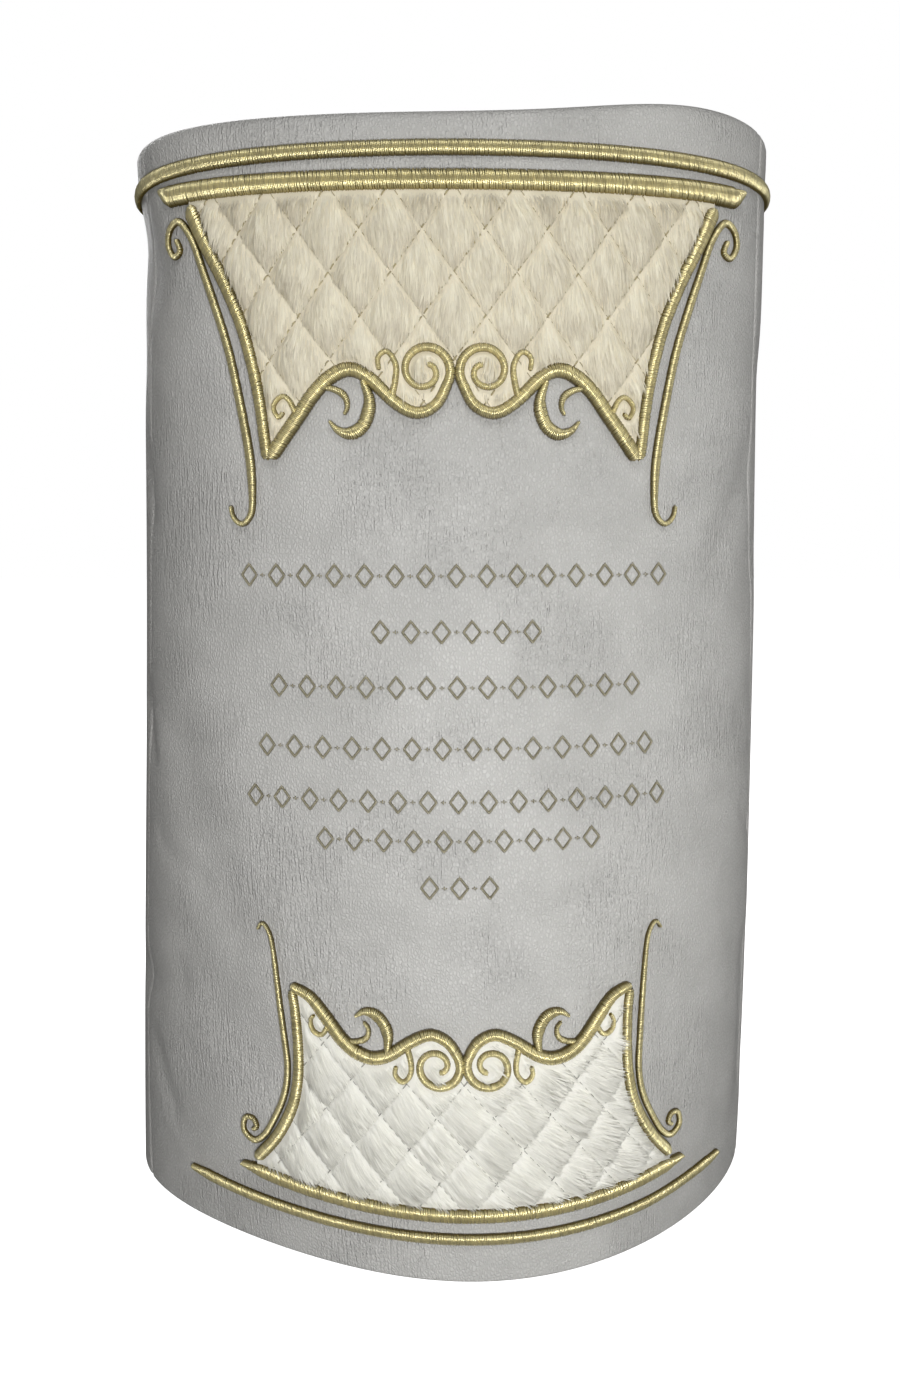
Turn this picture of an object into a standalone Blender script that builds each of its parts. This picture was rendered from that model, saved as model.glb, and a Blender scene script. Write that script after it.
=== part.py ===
"""A torah mantle: an oval tube of leather with a stiff top, two quilted fur panels and raised gold borders.

Metres, +Z up. The hem stands on z = 0 and the front faces -Y. A place on the cloth is given as two
distances in millimetres: how far round the wall it lies from the front centre line, positive to the
right as seen from the front, and how high it lies.
"""
import math

import bmesh
import bpy
import numpy as np
from mathutils import Vector
from mathutils.geometry import delaunay_2d_cdt

MM = 0.001

# The wall
WALL_HEIGHT = 588.0
LEATHER_THICKNESS = 2.2
GAP = 0.3
SEAM_INSET = 43.0

# The plan of the wall at some heights, in millimetres and degrees
SECTION_COLUMNS = (
    "height", "half_width", "front_depth", "back_depth", "fullness", "turn", "aside", "set_back", "lean",
)
SECTIONS = (
    (0, 189.0, 156, 130, -0.125, 5.6, -0.2, 13.5, 6.0),
    (50, 187.0, 151, 127, -0.060, 4.8, 0.8, 12.5, 6.5),
    (200, 183.0, 135, 120, 0.030, 2.7, 2.8, 9.5, 2.5),
    (350, 179.0, 119, 111, 0.070, 1.2, 3.8, 6.5, -1.5),
    (500, 175.2, 105, 102, 0.095, 0.3, 6.2, 5.5, -2.5),
    (590, 176.0, 98, 98, 0.120, 0.0, 4.2, 5.5, 0.0),
)
SMOOTHNESS_OF_SECTIONS = 3
LEAN_PEAK = 4 / (3 * math.sqrt(3))

# Above the wall the leather turns over the rim of the stiff top, whose right shoulder swells a little
SHOULDER_RADIUS = 7.0
RIM_HEIGHT = 593.0
RIM_SWELL = {"height": 8.5, "at": 135.0, "half_width": 70.0}

# Soft troughs in the leather, each along a line on the cloth
FOLD_COLUMNS = ("from_round", "from_height", "to_round", "to_height", "half_width", "depth")
FOLDS = (
    (-160, 272, -128, 176, 20, 2.6),
    (-222, 126, -176, 138, 12, 3.2),
    (-158, 150, -112, 108, 20, 2.4),
    (-196, 545, -180, 525, 20, 4.2),
    (-234, 538, -228, 490, 26, 3.6),
    (178, 418, 148, 374, 15, 2.2),
    (208, 140, 216, 60, 14, 2.2),
    (205, 470, 196, 380, 22, 1.8),
    (232, 552, 240, 540, 14, 1.8),
    (330, 430, 300, 240, 32, 3.5),
    (430, 300, 452, 120, 36, 4.0),
    (-330, 380, -300, 180, 30, 3.2),
)
TAUT_BELOW_TOP = 25.0

# The stiff top
CAP_GAP = 0.5
CAP_EDGE_STEPS = (1 / 3, 2 / 3, 1)
CAP_TOP_RINGS = (0.8, 0.6, 0.4, 0.2)
ROLLER_HOLE_DIAMETER = 46.0
ROLLER_SPACING = 172.0
HOLE_SIDES = 20
CUTTER_DEPTH = 40.0

# Heights off the leather of what is sewn on it
TRIM_ON_LEATHER = {"seat": 0.6, "edge": 1.3, "crown": 2.7}
TRIM_ON_QUILT = {"seat": 2.0, "edge": 2.8, "crown": 4.2}
QUILT_SEAT = 0.6
QUILT_PRESSED = 1.6
PRESS_MARGIN = 1.2
POINT_CLEARANCE = 3.0

# Quilting: a diamond's width and height, a crossing of two seams, and the crown of the fur
UPPER_QUILTING = {"width": 31.0, "height": 42.0, "crossing": (0.0, 515.0), "crown": 5.4}
LOWER_QUILTING = {"width": 29.5, "height": 35.0, "crossing": (0.0, 71.0), "crown": 5.0}
POINTS_PER_DIAMOND_SIDE = 3
LATTICE_REACH = 20
QUILT_EDGE_STEPS = 7

# Gold bands: height at the middle, how tall, half their length, how tall the tips are and how long they
# narrow, how far a tip lies above the band's middle line, and how much the band rises up to how far out
BAND_COLUMNS = ("height", "tall", "reach", "tip", "narrowing", "tip_rise", "bow", "bow_reach")
HEADING_BAR = dict(zip(BAND_COLUMNS, (559.0, 10.0, 160.0, 3.0, 7.0, 3.5, 0.0, 160.0)))
LOWER_BAR = dict(zip(BAND_COLUMNS, (36.5, 7.0, 130.0, 2.0, 14.0, 0.0, 8.5, 130.0)))
HEM_BAND = dict(zip(BAND_COLUMNS, (23.5, 5.0, 172.0, 3.0, 14.0, 0.0, 5.5, 172.0)))
TOP_BAND = dict(zip(BAND_COLUMNS, (574.5, 7.2, 450.8, 7.2, 14.0, 0.0, -6.0, 216.0)))
BAND_STEP = 10.0

# Curved gold lines of the right half: the route on the cloth, and how wide the line is along it
STROKE_STEP = 7.5
VOLUTE_STEP = math.radians(36)
VOLUTE_TIGHTENING = 1.6
VOLUTE_WIDTHS = (4.8, 4.0, 3.2, 2.6)
UPPER_PAD_MIDDLE = 455.0
LOWER_PAD_MIDDLE = 126.0
UPPER_VOLUTE = {"centre": (15.6, 467.0), "radius": 12.6, "inner_radius": 2.8, "start": -147, "sweep": -470}
LOWER_VOLUTE = {"centre": (14.9, 115.5), "radius": 11.8, "inner_radius": 2.6, "start": 147, "sweep": 470}
UPPER_STROKES = {
    "side": (((138.5, 551.6), (129.5, 534), (119.5, 516), (112, 500), (106.5, 485), (100, 458), (95.5, 424)),
             (6.0, 4.8, 4.6, 4.6)),
    "border": (((94.5, 424.5), (79, 445), (70, 457), (61, 465), (52, 468), (43, 464), (29.5, 451.5),
                (19, 446.5), (9.5, 450.5)),
               (6.0, 5.6, 5.4, 5.2)),
    "hook": (((31.5, 454), (29.4, 463), (29.2, 470), (33.3, 476.5), (38, 473.5), (37.4, 467)),
             (3.2, 2.6, 2.2)),
    "corner_curl": (((79.5, 446), (83.5, 453.5), (87.5, 455), (91.5, 450), (89, 444.5), (86, 447.5)),
                    (2.8, 2.2, 2.0)),
    "crescent": (((46, 463), (42.5, 452), (45.5, 441), (52, 436.5), (58.5, 438), (63, 443)),
                 (2.4, 5.6, 5.6, 1.2)),
    "inner_hook": (((66.5, 459), (60.5, 458.3), (55, 455), (53.6, 449.5), (55.5, 445.5)), (2.0, 3.2, 1.4)),
}
LOWER_STROKES = {
    "side": (((90.5, 150), (89, 138), (88.5, 118), (90, 100), (94.5, 84), (105, 66), (119.6, 50)),
             (4.0, 4.2, 4.6, 4.8)),
    "border": (((91, 152), (80.5, 147.5), (72, 137.5), (64, 127), (56, 120.5), (47, 118), (38, 120.5),
                (27, 127.8), (17, 132), (8.6, 129)),
               (3.6, 5.0, 5.0, 4.8)),
    "hook": (((29, 126), (27, 117.5), (27.4, 111), (31.5, 106.8), (35.5, 110.5), (34.6, 115.5)),
             (3.0, 2.4, 2.2)),
    "corner_curl": (((70, 134), (74.3, 128), (79, 129.7), (80.3, 135), (78, 138.6)), (2.6, 2.2, 1.8)),
    "crescent": (((39.5, 121), (38.8, 131), (43, 139.5), (50, 142.6), (56, 139.5)), (2.4, 5.2, 5.0, 1.2)),
    "inner_hook": (((63, 125.8), (55, 126), (50, 128.6), (49, 133.5), (51.5, 137)), (2.0, 2.8, 1.4)),
}
UPPER_LINE = (((149.5, 537), (146.5, 531), (152, 528.5), (157, 535), (154.5, 542.5), (146.5, 545.5),
               (138, 536), (131, 519), (124.5, 502), (117, 480), (111, 454), (105.8, 425), (104.8, 402),
               (107, 394.5),
               (111.5, 391.6), (116, 395), (117.5, 401)),
              (2.2, 3.0, 3.2, 3.2, 3.6, 1.4))
LOWER_LINE = (((121.5, 66), (118.3, 68), (120.5, 72.3), (126, 71.5), (127.5, 64), (121, 59.8),
               (113.8, 64.5), (107, 74.5), (99.8, 89), (96.8, 104), (97.4, 122), (99.2, 148), (101.5, 172),
               (104, 180.5),
               (107.5, 183.5), (110.5, 179.5)),
              (2.2, 2.8, 2.8, 2.6, 2.4, 1.4))

# Colours of the finished surfaces, as linear values
LEATHER_COLOUR = (0.55, 0.54, 0.51)
FUR_COLOURS = {"upper": (0.80, 0.74, 0.59), "lower": (0.84, 0.83, 0.76)}
GOLD_COLOUR = (0.52, 0.43, 0.19)
LEATHER_ROUGHNESS = 0.5
FUR_ROUGHNESS = 0.9
GOLD_ROUGHNESS = 0.4
GOLD_METALLIC = 0.4
SHARP_ANGLE = math.radians(40)

PANEL_COLUMNS = {"front": 32, "back": 26}
PANEL_ROWS = {"front": 19, "back": 12}
SHOULDER_TURNS = (math.radians(30), math.radians(60), math.radians(90))
PLAN_STEPS = 2160
PLAN_LEVELS = 60
TANGENT_STEP = 2.0
WELD = 1e-3
CLOSEST_POINTS = 0.5


def plan_curves():
    """A smooth curve through each column of the section table."""
    columns = np.array(SECTIONS, float).T
    return {
        name: np.polyfit(columns[0], column, SMOOTHNESS_OF_SECTIONS)
        for name, column in zip(SECTION_COLUMNS, columns)
    }


def section_points(turns, height):
    """The outer plan of the wall at one height; turn 0 is the front centre, a quarter turn the right side."""
    size = {name: np.polyval(curve, height) for name, curve in PLAN_CURVES.items()}
    depth = np.where(np.cos(turns) > 0, size["front_depth"], size["back_depth"])
    push = size["lean"] / LEAN_PEAK * np.sin(2 * turns) * np.maximum(np.cos(turns), 0)
    across = size["half_width"] * np.sin(turns) * (1 + size["fullness"] * np.cos(turns) ** 2)
    across = across + push * np.sin(turns)
    back = -depth * np.cos(turns) * (1 + size["fullness"] * np.sin(turns) ** 2) - push * np.cos(turns)
    cosine, sine = math.cos(math.radians(size["turn"])), math.sin(math.radians(size["turn"]))
    return cosine * across - sine * back + size["aside"], sine * across + cosine * back + size["set_back"]


def plan_table():
    """Distances round the wall and the points there, level by level."""
    turns = np.linspace(-math.pi, 2 * math.pi, PLAN_STEPS + 1)
    rows = []
    for height in PLAN_HEIGHTS:
        x, y = section_points(turns, height)
        along = np.concatenate([[0], np.cumsum(np.hypot(np.diff(x), np.diff(y)))])
        quarter = np.interp(math.pi / 2, turns, along) - np.interp(0, turns, along)
        whole = np.interp(math.pi, turns, along)
        rows.append((along - np.interp(0, turns, along), x, y, quarter, whole))
    return rows


PLAN_CURVES = plan_curves()
PLAN_HEIGHTS = np.linspace(0, WALL_HEIGHT + 12, PLAN_LEVELS + 1)
PLAN_TABLE = plan_table()


def by_level(height, read):
    """Reads something from the two plan levels around each height and blends them."""
    place = np.clip(height / PLAN_HEIGHTS[1], 0, PLAN_LEVELS - 1e-6)
    below = place.astype(int)
    share = place - below
    result = 0
    for level in np.unique(np.concatenate([below.ravel(), below.ravel() + 1])):
        weight = np.where(below == level, 1 - share, np.where(below + 1 == level, share, 0))
        result = result + weight * read(PLAN_TABLE[level])
    return result


def fold_depth(around, height):
    """How far the troughs press the leather in, from either way round; the stiff top holds it taut."""
    girth = perimeter(height)
    taut = np.clip((WALL_HEIGHT - height) / TAUT_BELOW_TOP, 0, 1)
    return taut * sum(trough_depth(around + lap * girth, height) for lap in (-1, 0, 1))


def trough_depth(around, height):
    depth = np.zeros(np.broadcast(around, height).shape)
    for row in FOLDS:
        fold = dict(zip(FOLD_COLUMNS, row))
        run = np.array([fold["to_round"] - fold["from_round"], fold["to_height"] - fold["from_height"]])
        offset = np.stack([around - fold["from_round"], height - fold["from_height"]], axis=-1)
        share = np.clip(offset @ run / (run @ run), 0, 1)
        distance = np.linalg.norm(offset - share[..., None] * run, axis=-1)
        depth = depth + fold["depth"] * np.exp(-(distance / fold["half_width"]) ** 2)
    return depth


def wall_frame(around, climb):
    """Points of the outer plan, and the directions straight out from it."""
    level = np.minimum(climb, WALL_HEIGHT)
    x, y = (by_level(level, lambda row: np.interp(around, row[0], row[axis])) for axis in (1, 2))
    beyond = around + TANGENT_STEP
    next_x, next_y = (by_level(level, lambda row: np.interp(beyond, row[0], row[axis])) for axis in (1, 2))
    length = np.hypot(next_x - x, next_y - y)
    return np.stack([x, y], axis=-1), np.stack([next_y - y, x - next_x], axis=-1) / length[:, None]


def rim_height(x):
    """How high the leather stands where it has turned over the rim."""
    return RIM_HEIGHT + RIM_SWELL["height"] * np.exp(-((x - RIM_SWELL["at"]) / RIM_SWELL["half_width"]) ** 2)


def on_wall(places, out):
    """Points in metres at places on the cloth, a distance out from the leather's outer face."""
    places = np.asarray(places, float)
    around, climb = places[:, 0], places[:, 1]
    spots, outward = wall_frame(around, climb)
    shoulder = rim_height(spots[:, 0]) - SHOULDER_RADIUS
    turn = np.clip((climb - shoulder) / SHOULDER_RADIUS, 0, math.pi / 2)
    radius = SHOULDER_RADIUS + np.broadcast_to(out, around.shape) - fold_depth(around, climb)
    spots = spots + (radius * np.cos(turn) - SHOULDER_RADIUS)[:, None] * outward
    height = np.minimum(climb, shoulder) + radius * np.sin(turn)
    return MM * np.stack([*spots.T, height], axis=-1)


def seam_place(height):
    """How far round the right side seam lies."""
    return by_level(np.minimum(height, WALL_HEIGHT), lambda row: row[3]) - SEAM_INSET


def perimeter(height):
    return by_level(np.minimum(height, WALL_HEIGHT), lambda row: row[4])


def finish_material(name, colour, roughness, metallic=0.0):
    material = bpy.data.materials.new(name)
    material.use_nodes = True
    shader = material.node_tree.nodes["Principled BSDF"]
    shader.inputs["Base Color"].default_value = (*colour, 1)
    shader.inputs["Roughness"].default_value = roughness
    shader.inputs["Metallic"].default_value = metallic
    return material


def add_object(name, mesh, material):
    mesh.materials.append(material)
    mesh.shade_smooth()
    mesh.set_sharp_from_angle(angle=SHARP_ANGLE)
    piece = bpy.data.objects.new(name, mesh)
    bpy.context.scene.collection.objects.link(piece)
    return piece


def cloth_solid(name, places, faces, outer, inner, material):
    """A closed solid on the wall: faces drawn on the cloth, between an outer and an inner height off it."""
    count = len(places)
    points = np.concatenate([on_wall(places, outer), on_wall(places, inner)])
    directed = [(face[i - 1], face[i]) for face in faces for i in range(len(face))]
    known = set(directed)
    rim = [(a, b) for a, b in directed if (b, a) not in known]
    solid = [tuple(face) for face in faces]
    solid += [tuple(corner + count for corner in reversed(face)) for face in faces]
    solid += [(b, a, a + count, b + count) for a, b in rim]
    mesh = bpy.data.meshes.new(name)
    mesh.from_pydata(points.tolist(), [], solid)
    mesh.validate()
    return add_object(name, mesh, material)


def columns_of(side, climb, inset=GAP / 2):
    """Places of a panel's columns, each at its own height, from one side seam to the other."""
    seam = seam_place(climb)
    start, end = (-seam, seam) if side == "front" else (seam, perimeter(climb) - seam)
    share = np.linspace(0, 1, PANEL_COLUMNS[side] + 1)
    return np.stack([start + inset + (end - start - 2 * inset) * share, climb], axis=-1)


def leather_panel(side, material):
    """A panel of the wall between its two seams, up to where it has turned over the rim."""
    columns, rows = PANEL_COLUMNS[side], PANEL_ROWS[side]
    top = columns_of(side, np.full(columns + 1, WALL_HEIGHT))
    shoulder = rim_height(wall_frame(*top.T)[0][:, 0]) - SHOULDER_RADIUS
    climbs = [shoulder * share for share in np.linspace(0, 1, rows + 1)]
    climbs += [shoulder + SHOULDER_RADIUS * turn for turn in SHOULDER_TURNS]
    places = np.concatenate([columns_of(side, climb) for climb in climbs])
    corners = np.arange(len(places)).reshape(len(climbs), columns + 1)
    quads = np.stack([corners[:-1, :-1], corners[:-1, 1:], corners[1:, 1:], corners[1:, :-1]], axis=-1)
    faces = quads.reshape(-1, 4).tolist()
    return cloth_solid(side + "_panel", places, faces, 0.0, -LEATHER_THICKNESS, material)


def cap_rings(base):
    """The edge of the stiff top, ring by ring from its underside; its corners match the panels' columns."""
    tops = [(side, np.full(count + 1, WALL_HEIGHT)) for side, count in PANEL_COLUMNS.items()]
    places = np.concatenate([columns_of(side, height, 0)[:-1] for side, height in tops])
    spots, outward = wall_frame(*places.T)
    rim = rim_height(spots[:, 0])
    shoulder = rim - SHOULDER_RADIUS
    radius = SHOULDER_RADIUS - LEATHER_THICKNESS - CAP_GAP
    start = np.arcsin(np.clip((base - shoulder) / radius, 0, 1))
    edge = [(SHOULDER_RADIUS - radius * np.cos(start), np.full(len(rim), base))]
    for share in CAP_EDGE_STEPS:
        turn = start + (math.pi / 2 - start) * share
        edge.append((SHOULDER_RADIUS - radius * np.cos(turn), shoulder + radius * np.sin(turn)))
    opening = np.full(len(rim), SHOULDER_RADIUS + CAP_GAP)
    edge[-1] = (opening, edge[-1][1])
    edge.append((opening, rim))
    return [np.column_stack([spots - inset[:, None] * outward, height]) for inset, height in edge]


def top_cap(material):
    """The stiff oval top inside the turned leather, with a hole for each roller of the scroll."""
    base = WALL_HEIGHT + GAP
    rings = cap_rings(base)
    edge = rings[-1][:, :2]
    count, middle = len(edge), (edge.min(axis=0) + edge.max(axis=0)) / 2
    inner = [middle + (edge[::2] - middle) * share for share in CAP_TOP_RINGS]
    places, triangles = inside_triangles([*edge, *np.concatenate(inner)], [], [list(range(count))])
    points = np.concatenate([*rings, np.column_stack([places[count:], rim_height(places[count:, 0])])])
    last = count * (len(rings) - 1)
    faces = [list(range(count))[::-1]]
    for first in range(0, last, count):
        for i in range(count):
            j = (i + 1) % count
            faces.append((first + i, first + j, first + count + j, first + count + i))
    faces += [[last + corner for corner in triangle] for triangle in triangles]
    mesh = bpy.data.meshes.new("top_cap")
    mesh.from_pydata((points * MM).tolist(), [], faces)
    mesh.validate()
    piece = add_object("top_cap", mesh, material)
    for side, sign in (("left", -1), ("right", 1)):
        place = middle + (sign * ROLLER_SPACING / 2, 0)
        cutter = roller_cutter("roller_cutter_" + side, (*place, base))
        hole = piece.modifiers.new("roller_hole_" + side, "BOOLEAN")
        hole.operation = "DIFFERENCE"
        hole.object = cutter
    return piece


def roller_cutter(name, place):
    mesh = bpy.data.meshes.new(name)
    tool = bmesh.new()
    bmesh.ops.create_cone(
        tool,
        cap_ends=True,
        segments=HOLE_SIDES,
        radius1=ROLLER_HOLE_DIAMETER / 2 * MM,
        radius2=ROLLER_HOLE_DIAMETER / 2 * MM,
        depth=CUTTER_DEPTH * MM,
    )
    tool.to_mesh(mesh)
    tool.free()
    cutter = bpy.data.objects.new(name, mesh)
    cutter.location = Vector(place) * MM
    cutter.hide_render = True
    cutter.display_type = "WIRE"
    bpy.context.scene.collection.objects.link(cutter)
    return cutter


def smooth_route(anchors, step):
    """Stations along a curve that passes through every anchor."""
    anchors = np.array(anchors, float)
    padded = np.concatenate([[2 * anchors[0] - anchors[1]], anchors, [2 * anchors[-1] - anchors[-2]]])
    stations = []
    for before, start, end, after in zip(padded, padded[1:], padded[2:], padded[3:]):
        count = max(1, round(float(np.linalg.norm(end - start)) / step))
        for share in np.arange(count) / count:
            stations.append(0.5 * (
                2 * start
                + (end - before) * share
                + (2 * before - 5 * start + 4 * end - after) * share ** 2
                + (3 * start - before - 3 * end + after) * share ** 3
            ))
    stations.append(anchors[-1])
    return np.array(stations)


def volute_route(volute):
    """A spiral that winds in from its outer radius."""
    sweep = math.radians(volute["sweep"])
    share = np.linspace(0, 1, round(abs(sweep) / VOLUTE_STEP) + 1)
    angle = math.radians(volute["start"]) + sweep * share
    radius = volute["radius"] - (volute["radius"] - volute["inner_radius"]) * share ** VOLUTE_TIGHTENING
    return np.array(volute["centre"]) + radius[:, None] * np.stack([np.cos(angle), np.sin(angle)], axis=-1)


def stroke(route, widths):
    """A line on the cloth: its stations, and half its width at each of them."""
    along = np.concatenate([[0], np.cumsum(np.linalg.norm(np.diff(route, axis=0), axis=1))])
    half = np.interp(along / along[-1], np.linspace(0, 1, len(widths)), np.array(widths) / 2)
    return {"route": route, "half": half}


def frame_strokes(strokes, volute):
    """The lines of one frame piece on the right half; its border winds into the volute."""
    drawn = []
    for name, (anchors, widths) in strokes.items():
        route = smooth_route(anchors, STROKE_STEP)
        if name == "border":
            spiral = volute_route(volute)
            joined = smooth_route([*anchors, spiral[0], spiral[1]], STROKE_STEP)
            finish = np.argmin(np.linalg.norm(joined - spiral[0], axis=1))
            route = np.concatenate([joined[:finish], spiral])
            widths = (*widths, *VOLUTE_WIDTHS)
        drawn.append(stroke(route, widths))
    return drawn


def mirrored(strokes):
    """The same lines on the left half, run from the far end so that they keep their left and right edges."""
    return [{"route": line["route"][::-1] * (-1, 1), "half": line["half"][::-1]} for line in strokes]


def edges_of(line):
    """Both edges of a line, square to its route."""
    heading = np.gradient(line["route"], axis=0)
    heading /= np.linalg.norm(heading, axis=1)[:, None]
    normal = np.stack([-heading[:, 1], heading[:, 0]], axis=-1) * line["half"][:, None]
    return line["route"] + normal, line["route"] - normal


def joined_outline(strokes):
    """Overlapping lines joined into one shape on the cloth, cut into triangles."""
    points, quads = [], []
    for line in strokes:
        left, right = edges_of(line)
        first, count = len(points), len(left)
        points += [*left, *line["route"], *right]
        for i in range(first, first + count - 1):
            quads.append([i + count, i + count + 1, i + 1, i])
            quads.append([i + 2 * count, i + 2 * count + 1, i + count + 1, i + count])
    return inside_triangles(points, [], quads)


def inside_triangles(points, edges, faces):
    """Delaunay triangles that lie inside any of the faces, with the places that they use."""
    spots = [Vector(point) for point in points]
    places, _, triangles, _, _, sources = delaunay_2d_cdt(spots, edges, faces, 0, WELD)
    kept = [triangle for triangle, source in zip(triangles, sources) if source]
    used = sorted({corner for triangle in kept for corner in triangle})
    renumbered = {old: new for new, old in enumerate(used)}
    return np.array([places[old] for old in used]), [[renumbered[corner] for corner in tri] for tri in kept]


def rim_edges(triangles):
    directed = {(triangle[i - 1], triangle[i]) for triangle in triangles for i in range(3)}
    return [edge for edge in directed if edge[::-1] not in directed]


def nearness(places, strokes):
    """How far each place lies past the nearest line's edge, and its share of the way out to that edge."""
    past, share = np.full(len(places), np.inf), np.full(len(places), np.inf)
    for line in strokes:
        route, halves = line["route"], line["half"]
        for start, end, half, next_half in zip(route, route[1:], halves, halves[1:]):
            run = end - start
            along = np.clip((places - start) @ run / (run @ run), 0, 1)
            distance = np.linalg.norm(places - start - along[:, None] * run, axis=1)
            reach = half + (next_half - half) * along
            past = np.minimum(past, distance - reach)
            share = np.minimum(share, distance / reach)
    return past, share


def gold_piece(name, strokes, heights, material):
    """Padded satin stitch: a rounded ridge that follows its lines."""
    places, triangles = joined_outline(strokes)
    share = np.clip(nearness(places, strokes)[1], 0, 1)
    outer = heights["edge"] + (heights["crown"] - heights["edge"]) * np.sqrt(1 - share ** 2)
    return cloth_solid(name, places, triangles, outer, heights["seat"], material)


def band_height(band, around):
    return band["height"] + band["bow"] * np.minimum(np.abs(around) / band["bow_reach"], 1) ** 2


def band_stroke(band):
    """A band that narrows to its tips."""
    body = band["reach"] - band["narrowing"]
    inner = np.linspace(-body, body, round(2 * body / BAND_STEP) + 1)
    around = np.concatenate([[-band["reach"]], inner, [band["reach"]]])
    half = np.full(len(around), band["tall"] / 2)
    height = band_height(band, around)
    half[[0, -1]] = band["tip"] / 2
    height[[0, -1]] += band["tip_rise"]
    return {"route": np.stack([around, height], axis=-1), "half": half}


def quilt_lattice(quilting, reach, low, high):
    """Points of the diamonds, also along their seams."""
    steps = np.arange(-LATTICE_REACH * POINTS_PER_DIAMOND_SIDE, LATTICE_REACH * POINTS_PER_DIAMOND_SIDE + 1)
    steps = steps / POINTS_PER_DIAMOND_SIDE
    rising, falling = np.meshgrid(steps, steps)
    around = quilting["crossing"][0] + quilting["width"] * (rising + falling).ravel() / 2
    height = quilting["crossing"][1] + quilting["height"] * (rising - falling).ravel() / 2
    inside = (np.abs(around) < reach) & (height > low) & (height < high)
    return np.stack([around[inside], height[inside]], axis=-1)


def quilt_crown(places, quilting):
    """How full the fur stands between the quilting seams, from 0 on a seam to 1 in a diamond's middle."""
    around = (places[:, 0] - quilting["crossing"][0]) / quilting["width"]
    height = (places[:, 1] - quilting["crossing"][1]) / quilting["height"]
    rising = np.abs(np.sin(math.pi * (around + height)))
    falling = np.abs(np.sin(math.pi * (around - height)))
    return np.sqrt(rising * falling)


def quilt_pad(name, outline, strokes, quilting, material):
    """A quilted pad, pressed thin where gold covers it and crowned between its seams."""
    margin = [{"route": line["route"], "half": line["half"] + PRESS_MARGIN} for line in strokes]
    pressed, pressed_triangles = joined_outline(margin)
    lattice = quilt_lattice(quilting, np.abs(outline[:, 0]).max(), outline[:, 1].min(), outline[:, 1].max())
    clear = nearness(lattice, strokes)[0] > PRESS_MARGIN + POINT_CLEARANCE
    points = [*outline, *pressed, *lattice[clear]]
    count = len(outline)
    rim = [(a + count, b + count) for a, b in rim_edges(pressed_triangles)]
    places, triangles = inside_triangles(points, rim, [list(range(count))])
    free = np.clip((nearness(places, strokes)[0] - PRESS_MARGIN) / POINT_CLEARANCE, 0, 1)
    outer = QUILT_PRESSED + (quilting["crown"] - QUILT_PRESSED) * free * quilt_crown(places, quilting)
    return cloth_solid(name, places, triangles, outer, QUILT_SEAT, material)


def quilt_outline(side, border, band, middle_height):
    """The pad's edge, under the middle of the gold that covers it, as one loop against the clock."""
    right = np.concatenate([border, [(0, middle_height)]])
    corners = side if side[0][1] < side[-1][1] else side[::-1]
    if middle_height < band["height"]:
        along = np.linspace(corners[-1][0], 0, QUILT_EDGE_STEPS)
        half = np.concatenate([right[::-1], corners, np.stack([along, band_height(band, along)], axis=-1)])
    else:
        along = np.linspace(0, corners[0][0], QUILT_EDGE_STEPS)
        half = np.concatenate([np.stack([along, band_height(band, along)], axis=-1), corners, right])
    left = half[::-1] * (-1, 1)
    loop = np.concatenate([half, left])
    distinct = np.linalg.norm(loop - np.roll(loop, 1, axis=0), axis=1) > CLOSEST_POINTS
    return loop[distinct]


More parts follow.
